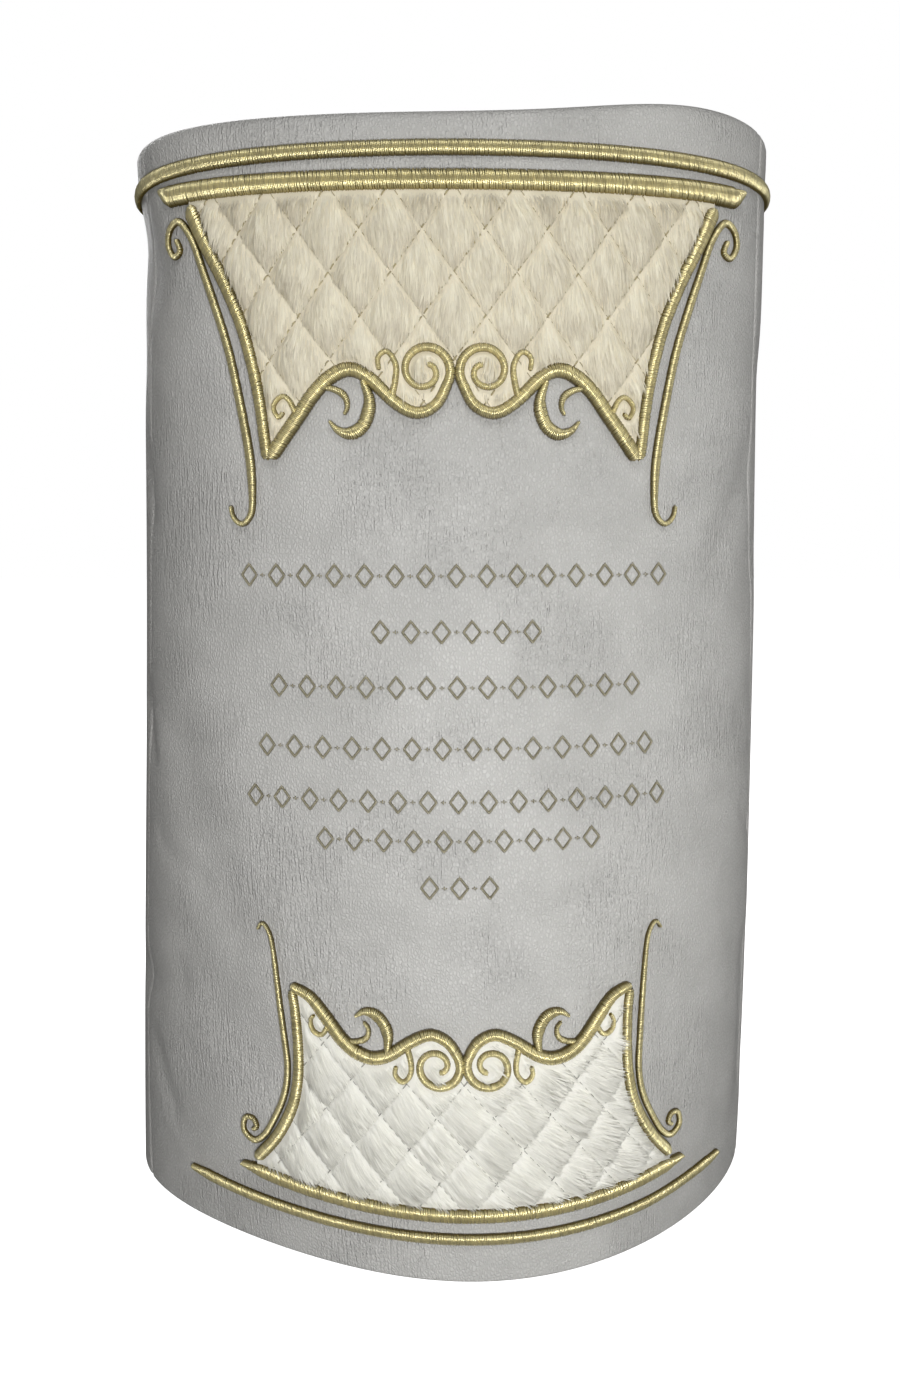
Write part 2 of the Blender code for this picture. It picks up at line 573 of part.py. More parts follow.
def build():
    for leftover in list(bpy.data.objects):
        bpy.data.objects.remove(leftover)
    leather_panel("front", finish_material("front_leather", LEATHER_COLOUR, LEATHER_ROUGHNESS))
    leather_panel("back", finish_material("back_leather", LEATHER_COLOUR, LEATHER_ROUGHNESS))
    top_cap(finish_material("cap_leather", LEATHER_COLOUR, LEATHER_ROUGHNESS))

    upper_frame = frame_strokes(UPPER_STROKES, UPPER_VOLUTE)
    lower_frame = frame_strokes(LOWER_STROKES, LOWER_VOLUTE)
    upper_line = [stroke(smooth_route(UPPER_LINE[0], STROKE_STEP), UPPER_LINE[1])]
    lower_line = [stroke(smooth_route(LOWER_LINE[0], STROKE_STEP), LOWER_LINE[1])]
    bands = {
        "top_band": (TOP_BAND, TRIM_ON_LEATHER),
        "heading_bar": (HEADING_BAR, TRIM_ON_QUILT),
        "lower_bar": (LOWER_BAR, TRIM_ON_QUILT),
        "hem_band": (HEM_BAND, TRIM_ON_LEATHER),
    }
    for name, (band, heights) in bands.items():
        material = finish_material(name + "_gold", GOLD_COLOUR, GOLD_ROUGHNESS, GOLD_METALLIC)
        gold_piece(name, [band_stroke(band)], heights, material)
    pairs = {
        "upper_frame": (upper_frame, TRIM_ON_QUILT),
        "lower_frame": (lower_frame, TRIM_ON_QUILT),
        "upper_line": (upper_line, TRIM_ON_LEATHER),
        "lower_line": (lower_line, TRIM_ON_LEATHER),
    }
    for name, (strokes, heights) in pairs.items():
        for side, lines in (("left", mirrored(strokes)), ("right", strokes)):
            node = name + "_" + side
            material = finish_material(node + "_gold", GOLD_COLOUR, GOLD_ROUGHNESS, GOLD_METALLIC)
            gold_piece(node, lines, heights, material)

    for half, frame, band, quilting, middle in (
        ("upper", upper_frame, HEADING_BAR, UPPER_QUILTING, UPPER_PAD_MIDDLE),
        ("lower", lower_frame, LOWER_BAR, LOWER_QUILTING, LOWER_PAD_MIDDLE),
    ):
        table = UPPER_STROKES if half == "upper" else LOWER_STROKES
        side = smooth_route(table["side"][0], 2 * STROKE_STEP)
        border = smooth_route(table["border"][0], STROKE_STEP)
        outline = quilt_outline(side, border, band, middle)
        strokes = [*frame, *mirrored(frame), band_stroke(band)]
        material = finish_material(half + "_fur", FUR_COLOURS[half], FUR_ROUGHNESS)
        quilt_pad(half + "_quilt", outline, strokes, quilting, material)


build()
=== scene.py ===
# %% [markdown]
# # A torah mantle in leather, fur and gold thread
#
# The mantle is an oval tube of pearl-grey leather under a stiff top. Two quilted fur panels lie on its
# front inside raised gold borders. Each piece that a maker would cut or sew is made here as an object of
# its own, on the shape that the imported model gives, and gets a finish made from nodes.
#
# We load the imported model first. Its frame is fixed: metres, +Z up, the front faces -Y.

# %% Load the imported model
import math

import bmesh
import bpy
import numpy as np
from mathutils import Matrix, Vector, noise
from mathutils.geometry import delaunay_2d_cdt


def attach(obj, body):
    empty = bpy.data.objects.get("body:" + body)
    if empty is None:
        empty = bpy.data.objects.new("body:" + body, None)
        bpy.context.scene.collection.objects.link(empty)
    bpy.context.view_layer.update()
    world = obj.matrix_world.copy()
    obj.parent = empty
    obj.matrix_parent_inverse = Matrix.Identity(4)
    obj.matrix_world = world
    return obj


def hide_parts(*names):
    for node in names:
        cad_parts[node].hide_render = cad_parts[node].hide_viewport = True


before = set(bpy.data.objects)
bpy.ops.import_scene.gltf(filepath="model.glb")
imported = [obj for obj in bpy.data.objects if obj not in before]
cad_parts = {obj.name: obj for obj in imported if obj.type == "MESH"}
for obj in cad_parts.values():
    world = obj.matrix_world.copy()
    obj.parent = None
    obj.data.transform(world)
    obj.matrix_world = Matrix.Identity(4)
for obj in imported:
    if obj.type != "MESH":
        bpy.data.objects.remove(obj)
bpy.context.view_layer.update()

MM = 0.001
print("nodes:", ", ".join(sorted(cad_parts)))

# %% [markdown]
# The camera stands as the photographer did: close to the front, a little above the middle, and tipped
# down. A short lens so close by is what makes the hem look rounder than the top.

# %% Camera
IMAGE_SIZE = (900, 1389)
FOCAL_PIXELS = 1230.0
HORIZON_ABOVE_MIDDLE = 189.5
CAMERA_PLACE = (0.0038, -0.7295, 0.4013)


def add_camera():
    lens = bpy.data.cameras.new("front_camera")
    lens.sensor_width = 36.0
    lens.lens = FOCAL_PIXELS / IMAGE_SIZE[1] * lens.sensor_width
    camera = bpy.data.objects.new("front_camera", lens)
    pitch = math.atan(HORIZON_ABOVE_MIDDLE / FOCAL_PIXELS)
    camera.rotation_euler = (math.pi / 2 - pitch, 0, 0)
    camera.location = CAMERA_PLACE
    bpy.context.scene.collection.objects.link(camera)
    bpy.context.scene.camera = camera
    print("lens", round(lens.lens, 2), "mm, tipped down", round(math.degrees(pitch), 2), "degrees")


add_camera()

# %% [markdown]
# ## The wall
#
# Everything on the mantle lies on one curved wall. A place on it is two distances in millimetres: how far
# round from the front centre line, and how high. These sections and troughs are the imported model's, so
# what we sew on the wall here lands where the solids are. A few finer creases are added for the looks.

# %% The plan of the wall
WALL_HEIGHT = 588.0
LEATHER_THICKNESS = 2.2
GAP = 0.3
SEAM_INSET = 43.0
SECTION_COLUMNS = (
    "height", "half_width", "front_depth", "back_depth", "fullness", "turn", "aside", "set_back", "lean",
)
SECTIONS = (
    (0, 189.0, 156, 130, -0.125, 5.6, -0.2, 13.5, 6.0),
    (50, 187.0, 151, 127, -0.060, 4.8, 0.8, 12.5, 6.5),
    (200, 183.0, 135, 120, 0.030, 2.7, 2.8, 9.5, 2.5),
    (350, 179.0, 119, 111, 0.070, 1.2, 3.8, 6.5, -1.5),
    (500, 175.2, 105, 102, 0.095, 0.3, 6.2, 5.5, -2.5),
    (590, 176.0, 98, 98, 0.120, 0.0, 4.2, 5.5, 0.0),
)
SMOOTHNESS_OF_SECTIONS = 3
LEAN_PEAK = 4 / (3 * math.sqrt(3))
SHOULDER_RADIUS = 7.0
RIM_HEIGHT = 593.0
RIM_SWELL = {"height": 8.5, "at": 135.0, "half_width": 70.0}
PLAN_STEPS = 2160
PLAN_LEVELS = 60
PLAN_ABOVE_WALL = 12
TANGENT_STEP = 2.0


def plan_curves():
    """A smooth curve through each column of the section table."""
    columns = np.array(SECTIONS, float).T
    return {
        name: np.polyfit(columns[0], column, SMOOTHNESS_OF_SECTIONS)
        for name, column in zip(SECTION_COLUMNS, columns)
    }


def section_points(turns, height):
    """The outer plan of the wall at one height; turn 0 is the front centre, a quarter turn the right side."""
    size = {name: np.polyval(curve, height) for name, curve in PLAN_CURVES.items()}
    depth = np.where(np.cos(turns) > 0, size["front_depth"], size["back_depth"])
    push = size["lean"] / LEAN_PEAK * np.sin(2 * turns) * np.maximum(np.cos(turns), 0)
    across = size["half_width"] * np.sin(turns) * (1 + size["fullness"] * np.cos(turns) ** 2)
    across = across + push * np.sin(turns)
    back = -depth * np.cos(turns) * (1 + size["fullness"] * np.sin(turns) ** 2) - push * np.cos(turns)
    cosine, sine = math.cos(math.radians(size["turn"])), math.sin(math.radians(size["turn"]))
    return cosine * across - sine * back + size["aside"], sine * across + cosine * back + size["set_back"]


def plan_table():
    """Distances round the wall and the points there, level by level."""
    turns = np.linspace(-math.pi, 2 * math.pi, PLAN_STEPS + 1)
    rows = []
    for height in PLAN_HEIGHTS:
        x, y = section_points(turns, height)
        along = np.concatenate([[0], np.cumsum(np.hypot(np.diff(x), np.diff(y)))])
        quarter = np.interp(math.pi / 2, turns, along) - np.interp(0, turns, along)
        whole = np.interp(math.pi, turns, along)
        rows.append((along - np.interp(0, turns, along), x, y, quarter, whole))
    return rows


PLAN_CURVES = plan_curves()
PLAN_HEIGHTS = np.linspace(0, WALL_HEIGHT + PLAN_ABOVE_WALL, PLAN_LEVELS + 1)
PLAN_TABLE = plan_table()

# %% Troughs and creases in the leather
FOLD_COLUMNS = ("from_round", "from_height", "to_round", "to_height", "half_width", "depth")
FOLDS = (
    (-160, 272, -128, 176, 20, 2.6),
    (-222, 126, -176, 138, 12, 3.2),
    (-158, 150, -112, 108, 20, 2.4),
    (-196, 545, -180, 525, 20, 4.2),
    (-234, 538, -228, 490, 26, 3.6),
    (178, 418, 148, 374, 15, 2.2),
    (208, 140, 216, 60, 14, 2.2),
    (205, 470, 196, 380, 22, 1.8),
    (232, 552, 240, 540, 14, 1.8),
    (330, 430, 300, 240, 32, 3.5),
    (430, 300, 452, 120, 36, 4.0),
    (-330, 380, -300, 180, 30, 3.2),
)
TAUT_BELOW_TOP = 25.0
FINE_CREASES = (
    (-57, 166, -44, 173, 3.2, 0.5),
    (-152, 505, -144, 507, 3.0, 0.4),
    (-95, 419, -94, 407, 2.6, 0.6),
    (95, 419, 94, 408, 2.6, 0.5),
    (-206, 300, -196, 262, 7.0, 1.4),
    (-186, 214, -150, 200, 7.0, 1.2),
    (-205, 90, -188, 60, 8.0, 1.2),
    (150, 300, 176, 286, 8.0, 0.9),
    (188, 232, 206, 216, 6.0, 1.2),
    (120, 20, 150, 34, 9.0, 0.7),
    (-30, 178, 24, 186, 14.0, 0.5),
    (40, 404, 78, 398, 12.0, 0.5),
    (-196, 430, -188, 396, 8.0, 1.3),
    (250, 520, 262, 470, 16.0, 1.4),
    (380, 520, 372, 420, 20.0, 1.6),
    (500, 480, 480, 360, 18.0, 1.4),
    (520, 200, 500, 90, 20.0, 1.8),
    (300, 130, 318, 40, 18.0, 1.6),
)


def fold_depth(around, height):
    """How far the troughs press the leather in, from either way round; the stiff top holds it taut."""
    girth = perimeter(height)
    taut = np.clip((WALL_HEIGHT - height) / TAUT_BELOW_TOP, 0, 1)
    return taut * sum(trough_depth(around + lap * girth, height) for lap in (-1, 0, 1))


def trough_depth(around, height):
    depth = np.zeros(np.broadcast(around, height).shape)
    for row in (*FOLDS, *FINE_CREASES):
        fold = dict(zip(FOLD_COLUMNS, row))
        run = np.array([fold["to_round"] - fold["from_round"], fold["to_height"] - fold["from_height"]])
        offset = np.stack([around - fold["from_round"], height - fold["from_height"]], axis=-1)
        share = np.clip(offset @ run / (run @ run), 0, 1)
        distance = np.linalg.norm(offset - share[..., None] * run, axis=-1)
        depth = depth + fold["depth"] * np.exp(-(distance / fold["half_width"]) ** 2)
    return depth


def by_level(height, read):
    """Reads something from the two plan levels around each height and blends them."""
    place = np.clip(height / PLAN_HEIGHTS[1], 0, PLAN_LEVELS - 1e-6)
    below = place.astype(int)
    share = place - below
    result = 0
    for level in np.unique(np.concatenate([below.ravel(), below.ravel() + 1])):
        weight = np.where(below == level, 1 - share, np.where(below + 1 == level, share, 0))
        result = result + weight * read(PLAN_TABLE[level])
    return result


def wall_frame(around, climb):
    """Points of the outer plan, and the directions straight out from it."""
    level = np.minimum(climb, WALL_HEIGHT)
    x, y = (by_level(level, lambda row: np.interp(around, row[0], row[axis])) for axis in (1, 2))
    beyond = around + TANGENT_STEP
    next_x, next_y = (by_level(level, lambda row: np.interp(beyond, row[0], row[axis])) for axis in (1, 2))
    length = np.hypot(next_x - x, next_y - y)
    return np.stack([x, y], axis=-1), np.stack([next_y - y, x - next_x], axis=-1) / length[:, None]


def rim_height(x):
    """How high the leather stands where it has turned over the rim."""
    return RIM_HEIGHT + RIM_SWELL["height"] * np.exp(-((x - RIM_SWELL["at"]) / RIM_SWELL["half_width"]) ** 2)


def on_wall(places, out):
    """Points in metres at places on the cloth, a distance out from the leather's outer face."""
    places = np.asarray(places, float)
    around, climb = places[:, 0], places[:, 1]
    spots, outward = wall_frame(around, climb)
    shoulder = rim_height(spots[:, 0]) - SHOULDER_RADIUS
    turn = np.clip((climb - shoulder) / SHOULDER_RADIUS, 0, math.pi / 2)
    radius = SHOULDER_RADIUS + np.broadcast_to(out, around.shape) - fold_depth(around, climb)
    spots = spots + (radius * np.cos(turn) - SHOULDER_RADIUS)[:, None] * outward
    height = np.minimum(climb, shoulder) + radius * np.sin(turn)
    return MM * np.stack([*spots.T, height], axis=-1)


def seam_place(height):
    """How far round the right side seam lies."""
    return by_level(np.minimum(height, WALL_HEIGHT), lambda row: row[3]) - SEAM_INSET


def perimeter(height):
    return by_level(np.minimum(height, WALL_HEIGHT), lambda row: row[4])


girths = [round(float(perimeter(height))) for height in (0.0, WALL_HEIGHT)]
print("round the hem:", girths[0], "mm, round the top:", girths[1], "mm")

# %% [markdown]
# ## Shader maths as Python
#
# A node's output is wrapped in a small class, so that `1 - grain * 0.3` adds the Math nodes by itself.
# Any other node comes from one method: its type, its settings, and the values or links of its sockets.
# The same two classes build the Geometry Nodes trees.

# %% Nodes from Python expressions
class Signal:
    """A node's output. Python's operators on it add Math nodes."""

    def __init__(self, bench, socket):
        self.bench = bench
        self.socket = socket

    def out(self, name):
        """Another output of the same node."""
        return Signal(self.bench, self.socket.node.outputs[name])

    def math(self, operation, *others, clamp=False):
        values = dict(enumerate((self, *others)))
        return self.bench.node("ShaderNodeMath", {"operation": operation, "use_clamp": clamp}, values)

    def between(self, low, high, to_low=0.0, to_high=1.0):
        """Maps low..high smoothly to to_low..to_high."""
        values = {"Value": self, "From Min": low, "From Max": high, "To Min": to_low, "To Max": to_high}
        return self.bench.node("ShaderNodeMapRange", {"interpolation_type": "SMOOTHSTEP"}, values)

    def __add__(self, other):
        return self.math("ADD", other)

    def __sub__(self, other):
        return self.math("SUBTRACT", other)

    def __rsub__(self, other):
        return self.bench.node("ShaderNodeMath", {"operation": "SUBTRACT"}, {0: other, 1: self})

    def __mul__(self, other):
        return self.math("MULTIPLY", other)

    __radd__ = __add__
    __rmul__ = __mul__


class Bench:
    """A node tree, and the one way to put nodes on it."""

    def __init__(self, tree):
        self.tree = tree

    def node(self, kind, settings=None, values=None, output=0):
        made = self.tree.nodes.new(kind)
        for name, value in (settings or {}).items():
            setattr(made, name, value)
        for name, value in (values or {}).items():
            self.feed(made.inputs[name], value)
        return Signal(self, made.outputs[output])

    def feed(self, socket, value):
        if isinstance(value, Signal):
            self.tree.links.new(value.socket, socket)
        elif value is not None:
            socket.default_value = value

    def scaled(self, vector, factors):
        """A vector times three numbers."""
        return self.node("ShaderNodeVectorMath", {"operation": "MULTIPLY"}, {0: vector, 1: factors})

    def mixed(self, share, first, second):
        """A colour between two colours."""
        colours = [value if isinstance(value, Signal) else (*value, 1.0) for value in (first, second)]
        made = self.tree.nodes.new("ShaderNodeMix")
        made.data_type = "RGBA"
        wanted = {"Factor_Float": share, "A_Color": colours[0], "B_Color": colours[1]}
        for socket in made.inputs:
            if socket.identifier in wanted:
                self.feed(socket, wanted[socket.identifier])
        result = next(socket for socket in made.outputs if socket.identifier == "Result_Color")
        return Signal(self, result)

    def noise(self, place, size, detail=3.0, roughness=0.5):
        """Soft noise whose lumps are about size across."""
        values = {"Vector": place, "Scale": 1.0 / size, "Detail": detail, "Roughness": roughness}
        return self.node("ShaderNodeTexNoise", {"noise_dimensions": "3D"}, values)

    def bump(self, height, depth, under=None):
        """A surface normal from a height of 0 to 1 that stands for depth in metres."""
        values = {"Height": height, "Distance": depth, "Strength": 1.0, "Normal": under}
        return self.node("ShaderNodeBump", {}, values)

    def attribute(self, name):
        """A number that the mesh carries."""
        return self.node("ShaderNodeAttribute", {"attribute_name": name}, output="Fac")

    def object_place(self):
        """Object coordinates in millimetres."""
        return self.scaled(self.node("ShaderNodeTexCoord", output="Object"), (1 / MM,) * 3)


def new_finish(name, constants):
    """A material with one Principled shader. Constants are set on the shader's own sockets."""
    material = bpy.data.materials.new(name)
    material.use_nodes = True
    bench = Bench(material.node_tree)
    shader = material.node_tree.nodes["Principled BSDF"]
    for socket, value in constants.items():
        shader.inputs[socket].default_value = value
    return material, bench, shader


# %% [markdown]
# ## Leather
#
# The hide is a soft pearl grey. Close up it has a pebble grain of 1 to 2 mm with finer pores, and in soft
# patches the grain has been pulled into fine lines. The grain's grooves carry painted shade, a darker grey.
# Its colour clouds slightly over a few centimetres, and its gloss changes with the grain. Cloth panels read
# their own map of the wall, so the grain keeps its size round the curve. The top reads Object coordinates.

# %% Leather finish
LEATHER_LIGHT = (0.640, 0.632, 0.607)
LEATHER_DEEP = (0.575, 0.568, 0.545)
LEATHER_GROOVE_SHADE = (0.36, 0.355, 0.335)
GRAIN_WANDER = {"Scale": 0.4, "Detail": 2.0}
WANDER_REACH = (1.4,) * 3
PEBBLE_SIZE = 1.5
PEBBLE_STRETCH = (1.0, 0.62, 1.0)
PEBBLE_DEPTH = 0.00026
PULLED_STRETCH = (1.0, 0.10, 1.0)
PULLED_SIZE = 1.25
PULLED_REGION = 60.0
PULL_DEPTH = 0.00034
PORE_SIZE = 0.45
PORE_DEPTH = 0.00005
CLOUD_SIZE = 42.0
GROOVE_SHADE_SHARE = 0.28
GROOVE_WIDTH = 0.32
SOFT_RANGE = (0.35, 0.65)
REGION_RANGE = (0.40, 0.62)
LEATHER_ROUGHNESS = {"all": 0.50, "grain": 0.08, "cloud": 0.10}
LEATHER_COAT = {"all": 0.10, "grain": 0.10}


def leather_finish(name, map_name=None):
    constants = {"Specular IOR Level": 0.42, "Coat Roughness": 0.38}
    material, bench, shader = new_finish(name, constants)
    if map_name:
        place = bench.scaled(bench.node("ShaderNodeUVMap", {"uv_map": map_name}), (1 / MM,) * 3)
    else:
        place = bench.object_place()
    wander = bench.node("ShaderNodeTexNoise", {}, {"Vector": place, **GRAIN_WANDER}, "Color")
    values = {0: wander, 1: WANDER_REACH, 2: place}
    bent = bench.node("ShaderNodeVectorMath", {"operation": "MULTIPLY_ADD"}, values)
    values = {"Vector": bench.scaled(bent, PEBBLE_STRETCH), "Scale": 1 / PEBBLE_SIZE, "Randomness": 1.0}
    pebble = bench.node("ShaderNodeTexVoronoi", {"feature": "DISTANCE_TO_EDGE"}, values)
    grain = pebble.between(0.0, GROOVE_WIDTH)
    pulled = bench.noise(bench.scaled(place, PULLED_STRETCH), PULLED_SIZE, 2.0, 0.55).between(*SOFT_RANGE)
    region = bench.noise(place, PULLED_REGION, 1.0).between(*REGION_RANGE)
    pores = bench.noise(place, PORE_SIZE, 2.0)
    cloud = bench.noise(place, CLOUD_SIZE, 3.0, 0.55)
    colour = bench.mixed(cloud.between(*SOFT_RANGE), LEATHER_DEEP, LEATHER_LIGHT)
    # Painted shade: the grain's grooves are mixed towards a darker grey.
    groove_shaded = bench.mixed((1 - grain) * GROOVE_SHADE_SHARE, colour, LEATHER_GROOVE_SHADE)
    bench.feed(shader.inputs["Base Color"], groove_shaded)
    rough = LEATHER_ROUGHNESS
    bench.feed(shader.inputs["Roughness"], rough["all"] - rough["grain"] * grain + rough["cloud"] * cloud)
    bench.feed(shader.inputs["Coat Weight"], LEATHER_COAT["all"] + LEATHER_COAT["grain"] * grain)
    first = bench.bump(pores, PORE_DEPTH)
    second = bench.bump(pulled * region, PULL_DEPTH, first)
    bench.feed(shader.inputs["Normal"], bench.bump(grain, PEBBLE_DEPTH, second))
    return material


PANEL_LEATHER = leather_finish("panel_leather", "cloth")
TOP_LEATHER = leather_finish("top_leather")

# %% [markdown]
# ## Gold thread
#
# The borders are satin stitch over a padded cord. The thread is a metal foil round a core: pale gold on the
# crest of each stitch, and painted shade in dark olive where it dives into the leather. The stitch tree tells
# the finish how far up the crest a point lies. Each stitch has its own tone too, and a fine twist runs over
# it.

# %% Gold thread finish
GOLD_LIGHT = (0.93, 0.84, 0.48)
GOLD_DEEP_AND_SHADED = (0.20, 0.15, 0.035)
TWIST_SIZE = 0.35
TWIST_DEPTH = 0.00004
DRIFT_SIZE = 18.0
CREST_SHADE_RANGE = (0.35, 0.95)
LIGHT_SHARE = {"all": 0.35, "tone": 0.5, "drift": 0.5}
LESS_METAL = 0.15
GOLD_ROUGHNESS = {"twist": 0.12, "tone": 0.05}


def gold_finish(name, light, deep_and_shaded, metal=0.85, roughness=0.29, coat=0.40):
    material, bench, shader = new_finish(name, {"Coat Weight": coat, "Coat Roughness": 0.26})
    tone, crest = bench.attribute("tone"), bench.attribute("crest")
    place = bench.object_place()
    twist = bench.noise(place, TWIST_SIZE, 2.0)
    drift = bench.noise(place, DRIFT_SIZE, 2.0)
    lit = tone * LIGHT_SHARE["tone"] + drift * LIGHT_SHARE["drift"] + LIGHT_SHARE["all"]
    # Painted shade: each stitch darkens to the dark olive towards its feet, where it dives into the leather.
    share = (lit * crest.between(*CREST_SHADE_RANGE)).math("MULTIPLY", 1.0, clamp=True)
    rough = roughness + GOLD_ROUGHNESS["twist"] * twist - GOLD_ROUGHNESS["tone"] * tone
    bench.feed(shader.inputs["Base Color"], bench.mixed(share, deep_and_shaded, light))
    bench.feed(shader.inputs["Metallic"], metal - LESS_METAL * twist)
    bench.feed(shader.inputs["Roughness"], rough)
    bench.feed(shader.inputs["Normal"], bench.bump(twist, TWIST_DEPTH))
    return material


GOLD_THREAD = gold_finish("gold_thread", GOLD_LIGHT, GOLD_DEEP_AND_SHADED)
FINE_THREAD = gold_finish("fine_thread", (0.50, 0.46, 0.33), (0.30, 0.27, 0.17), 0.55, 0.42)
SEAM_THREADS = {
    "upper": gold_finish("ochre_thread", (0.50, 0.43, 0.25), (0.26, 0.21, 0.11), 0.2, 0.5, 0.0),
    "lower": gold_finish("grey_thread", (0.42, 0.41, 0.36), (0.20, 0.19, 0.16), 0.1, 0.5, 0.0),
}

# %% [markdown]
# ## Fur
#
# The quilted panels are short fur, cream above and whiter below. The strands carry the form, so the finish
# only gives them their tones: each strand its own, greyer along the combed ridges, and painted shade on one
# side of every diamond. The skin under them has one tone, a little darker than the strands' lightest, as
# painted shade under the fur.

# %% Fur finish
FUR_TONES = {
    "upper": {"light": (0.98, 0.93, 0.75), "deep_and_shaded": (0.60, 0.54, 0.42), "root": (0.90, 0.83, 0.65)},
    "lower": {"light": (0.98, 0.97, 0.89), "deep_and_shaded": (0.68, 0.67, 0.61), "root": (0.92, 0.91, 0.84)},
}
PATCH_SIZE = 9.0
HAIR_SIZE = 0.5
HAIR_DEPTH = 0.0001
ROOT_TONE = 0.01
GREY_AND_SHADE_SHARE = {"shade": 0.60, "tone": 0.45, "patch": 0.4, "less": 0.25}
FUR_ROUGHNESS = {"all": 0.62, "patch": 0.2}


def fur_finish(name, tones):
    constants = {"Specular IOR Level": 0.35, "Sheen Weight": 0.25, "Sheen Roughness": 0.4}
    material, bench, shader = new_finish(name, constants)
    tone, shade = bench.attribute("tone"), bench.attribute("shade")
    place = bench.object_place()
    patch = bench.noise(place, PATCH_SIZE, 2.0)
    # Painted shade: the shade attribute greys one side of every diamond; tone and patch are the fur's own
    # greys.
    grey_and_shade = shade * GREY_AND_SHADE_SHARE["shade"] + (1 - tone) * GREY_AND_SHADE_SHARE["tone"] + patch * GREY_AND_SHADE_SHARE["patch"]
    grey_and_shade = (grey_and_shade - GREY_AND_SHADE_SHARE["less"]).math("MULTIPLY", 1.0, clamp=True)
    colour = bench.mixed(grey_and_shade, tones["light"], tones["deep_and_shaded"])
    # Painted shade: the skin under the strands has no tone and takes the darker root colour.
    rooted = tone.math("LESS_THAN", ROOT_TONE)
    bench.feed(shader.inputs["Base Color"], bench.mixed(rooted, colour, tones["root"]))
    bench.feed(shader.inputs["Roughness"], FUR_ROUGHNESS["all"] + FUR_ROUGHNESS["patch"] * patch)
    bench.feed(shader.inputs["Normal"], bench.bump(bench.noise(place, HAIR_SIZE, 2.0), HAIR_DEPTH))
    return material


FUR = {half: fur_finish(half + "_fur", tones) for half, tones in FUR_TONES.items()}
print("finishes:", ", ".join(sorted(material.name for material in bpy.data.materials if material.users == 0)))

# %% [markdown]
# ## Drawing on the cloth
#
# The borders are drawn flat on the cloth as the embroiderer would: each line is a route and a width that
# changes along it. The right half is drawn and the left half mirrors it. The borders wind into a spiral.

# %% Lines on the cloth
UPPER_VOLUTE = {"centre": (14.7, 467.0), "radius": 12.6, "inner_radius": 2.8, "start": -147, "sweep": -470}
LOWER_VOLUTE = {"centre": (13.3, 115.5), "radius": 11.8, "inner_radius": 2.6, "start": 147, "sweep": 470}
VOLUTE_TIGHTENING = 1.6
VOLUTE_WIDTHS = (4.8, 4.0, 3.2, 2.6)
ROUTE_STEP = 1.5
VOLUTE_STEP = 9
VOLUTE_STEPS_TO_JOIN = 4
UPPER_STROKES = {
    "side": (((138.5, 551.6), (129.5, 534), (119.5, 516), (112, 500), (106.5, 485), (100, 458), (95.5, 424)),
             (7.4, 6.0, 5.6, 5.4), 3.7),
    "border": (((94.5, 424.5), (79, 445), (70, 457), (61, 465), (52, 468), (43, 464), (29.5, 451.5),
                (19, 446.5), (9.5, 450.5)),
               (6.4, 6.2, 6.2, 5.6), 3.9),
    "hook": (((31.5, 454), (29.4, 463), (29.2, 470), (33.3, 476.5), (38, 473.5), (37.4, 467)),
             (3.2, 2.6, 2.2), 3.6),
    "corner_curl": (((79.5, 446), (83.5, 453.5), (87.5, 455), (91.5, 450), (89, 444.5), (86, 447.5)),
                    (2.8, 2.2, 2.0), 3.6),
    "crescent": (((46, 463), (42.5, 452), (45.5, 441), (52, 436.5), (58.5, 438), (63, 443)),
                 (2.4, 5.6, 5.6, 1.2), 2.7),
    "inner_hook": (((66.5, 459), (60.5, 458.3), (55, 455), (53.6, 449.5), (55.5, 445.5)),
                   (2.0, 3.2, 1.4), 2.1),
}
LOWER_STROKES = {
    "side": (((90.5, 150), (89, 138), (88.5, 118), (90, 100), (94.5, 84), (105, 66), (119.6, 50)),
             (4.6, 5.2, 5.6, 5.6), 3.7),
    "border": (((91, 152), (80.5, 147.5), (72, 137.5), (64, 127), (56, 120.5), (47, 118), (38, 120.5),
                (27, 127.8), (17, 132), (8.6, 129)),
               (4.2, 6.0, 6.2, 5.4), 3.9),
    "hook": (((29, 126), (27, 117.5), (27.4, 111), (31.5, 106.8), (35.5, 110.5), (34.6, 115.5)),
             (3.0, 2.4, 2.2), 3.6),
    "corner_curl": (((70, 134), (74.3, 128), (79, 129.7), (80.3, 135), (78, 138.6)), (2.6, 2.2, 1.8), 3.6),
    "crescent": (((39.5, 121), (38.8, 131), (43, 139.5), (50, 142.6), (56, 139.5)),
                 (2.4, 5.2, 5.0, 1.2), 2.7),
    "inner_hook": (((63, 125.8), (55, 126), (50, 128.6), (49, 133.5), (51.5, 137)), (2.0, 2.8, 1.4), 2.1),
}
UPPER_LINE = (((149.5, 537), (146.5, 531), (152, 528.5), (157, 535), (154.5, 542.5), (146.5, 545.5),
               (138, 536), (131, 519), (124.5, 502), (117, 480), (111, 454), (105.8, 425), (104.8, 402),
               (107, 394.5), (111.5, 391.6), (116, 395), (117.5, 401)),
              (2.4, 3.2, 3.9, 3.9, 4.2, 1.6), 2.2)
LOWER_LINE = (((121.5, 66), (118.3, 68), (120.5, 72.3), (126, 71.5), (127.5, 64), (121, 59.8), (113.8, 64.5),
               (107, 74.5), (99.8, 89), (96.8, 104), (97.4, 122), (99.2, 148), (101.5, 172), (104, 180.5),
               (107.5, 183.5), (110.5, 179.5)),
              (2.2, 3.0, 3.2, 3.0, 2.6, 1.4), 2.0)
BAND_COLUMNS = ("height", "tall", "reach", "tip", "narrowing", "tip_rise", "bow", "bow_reach", "rise")
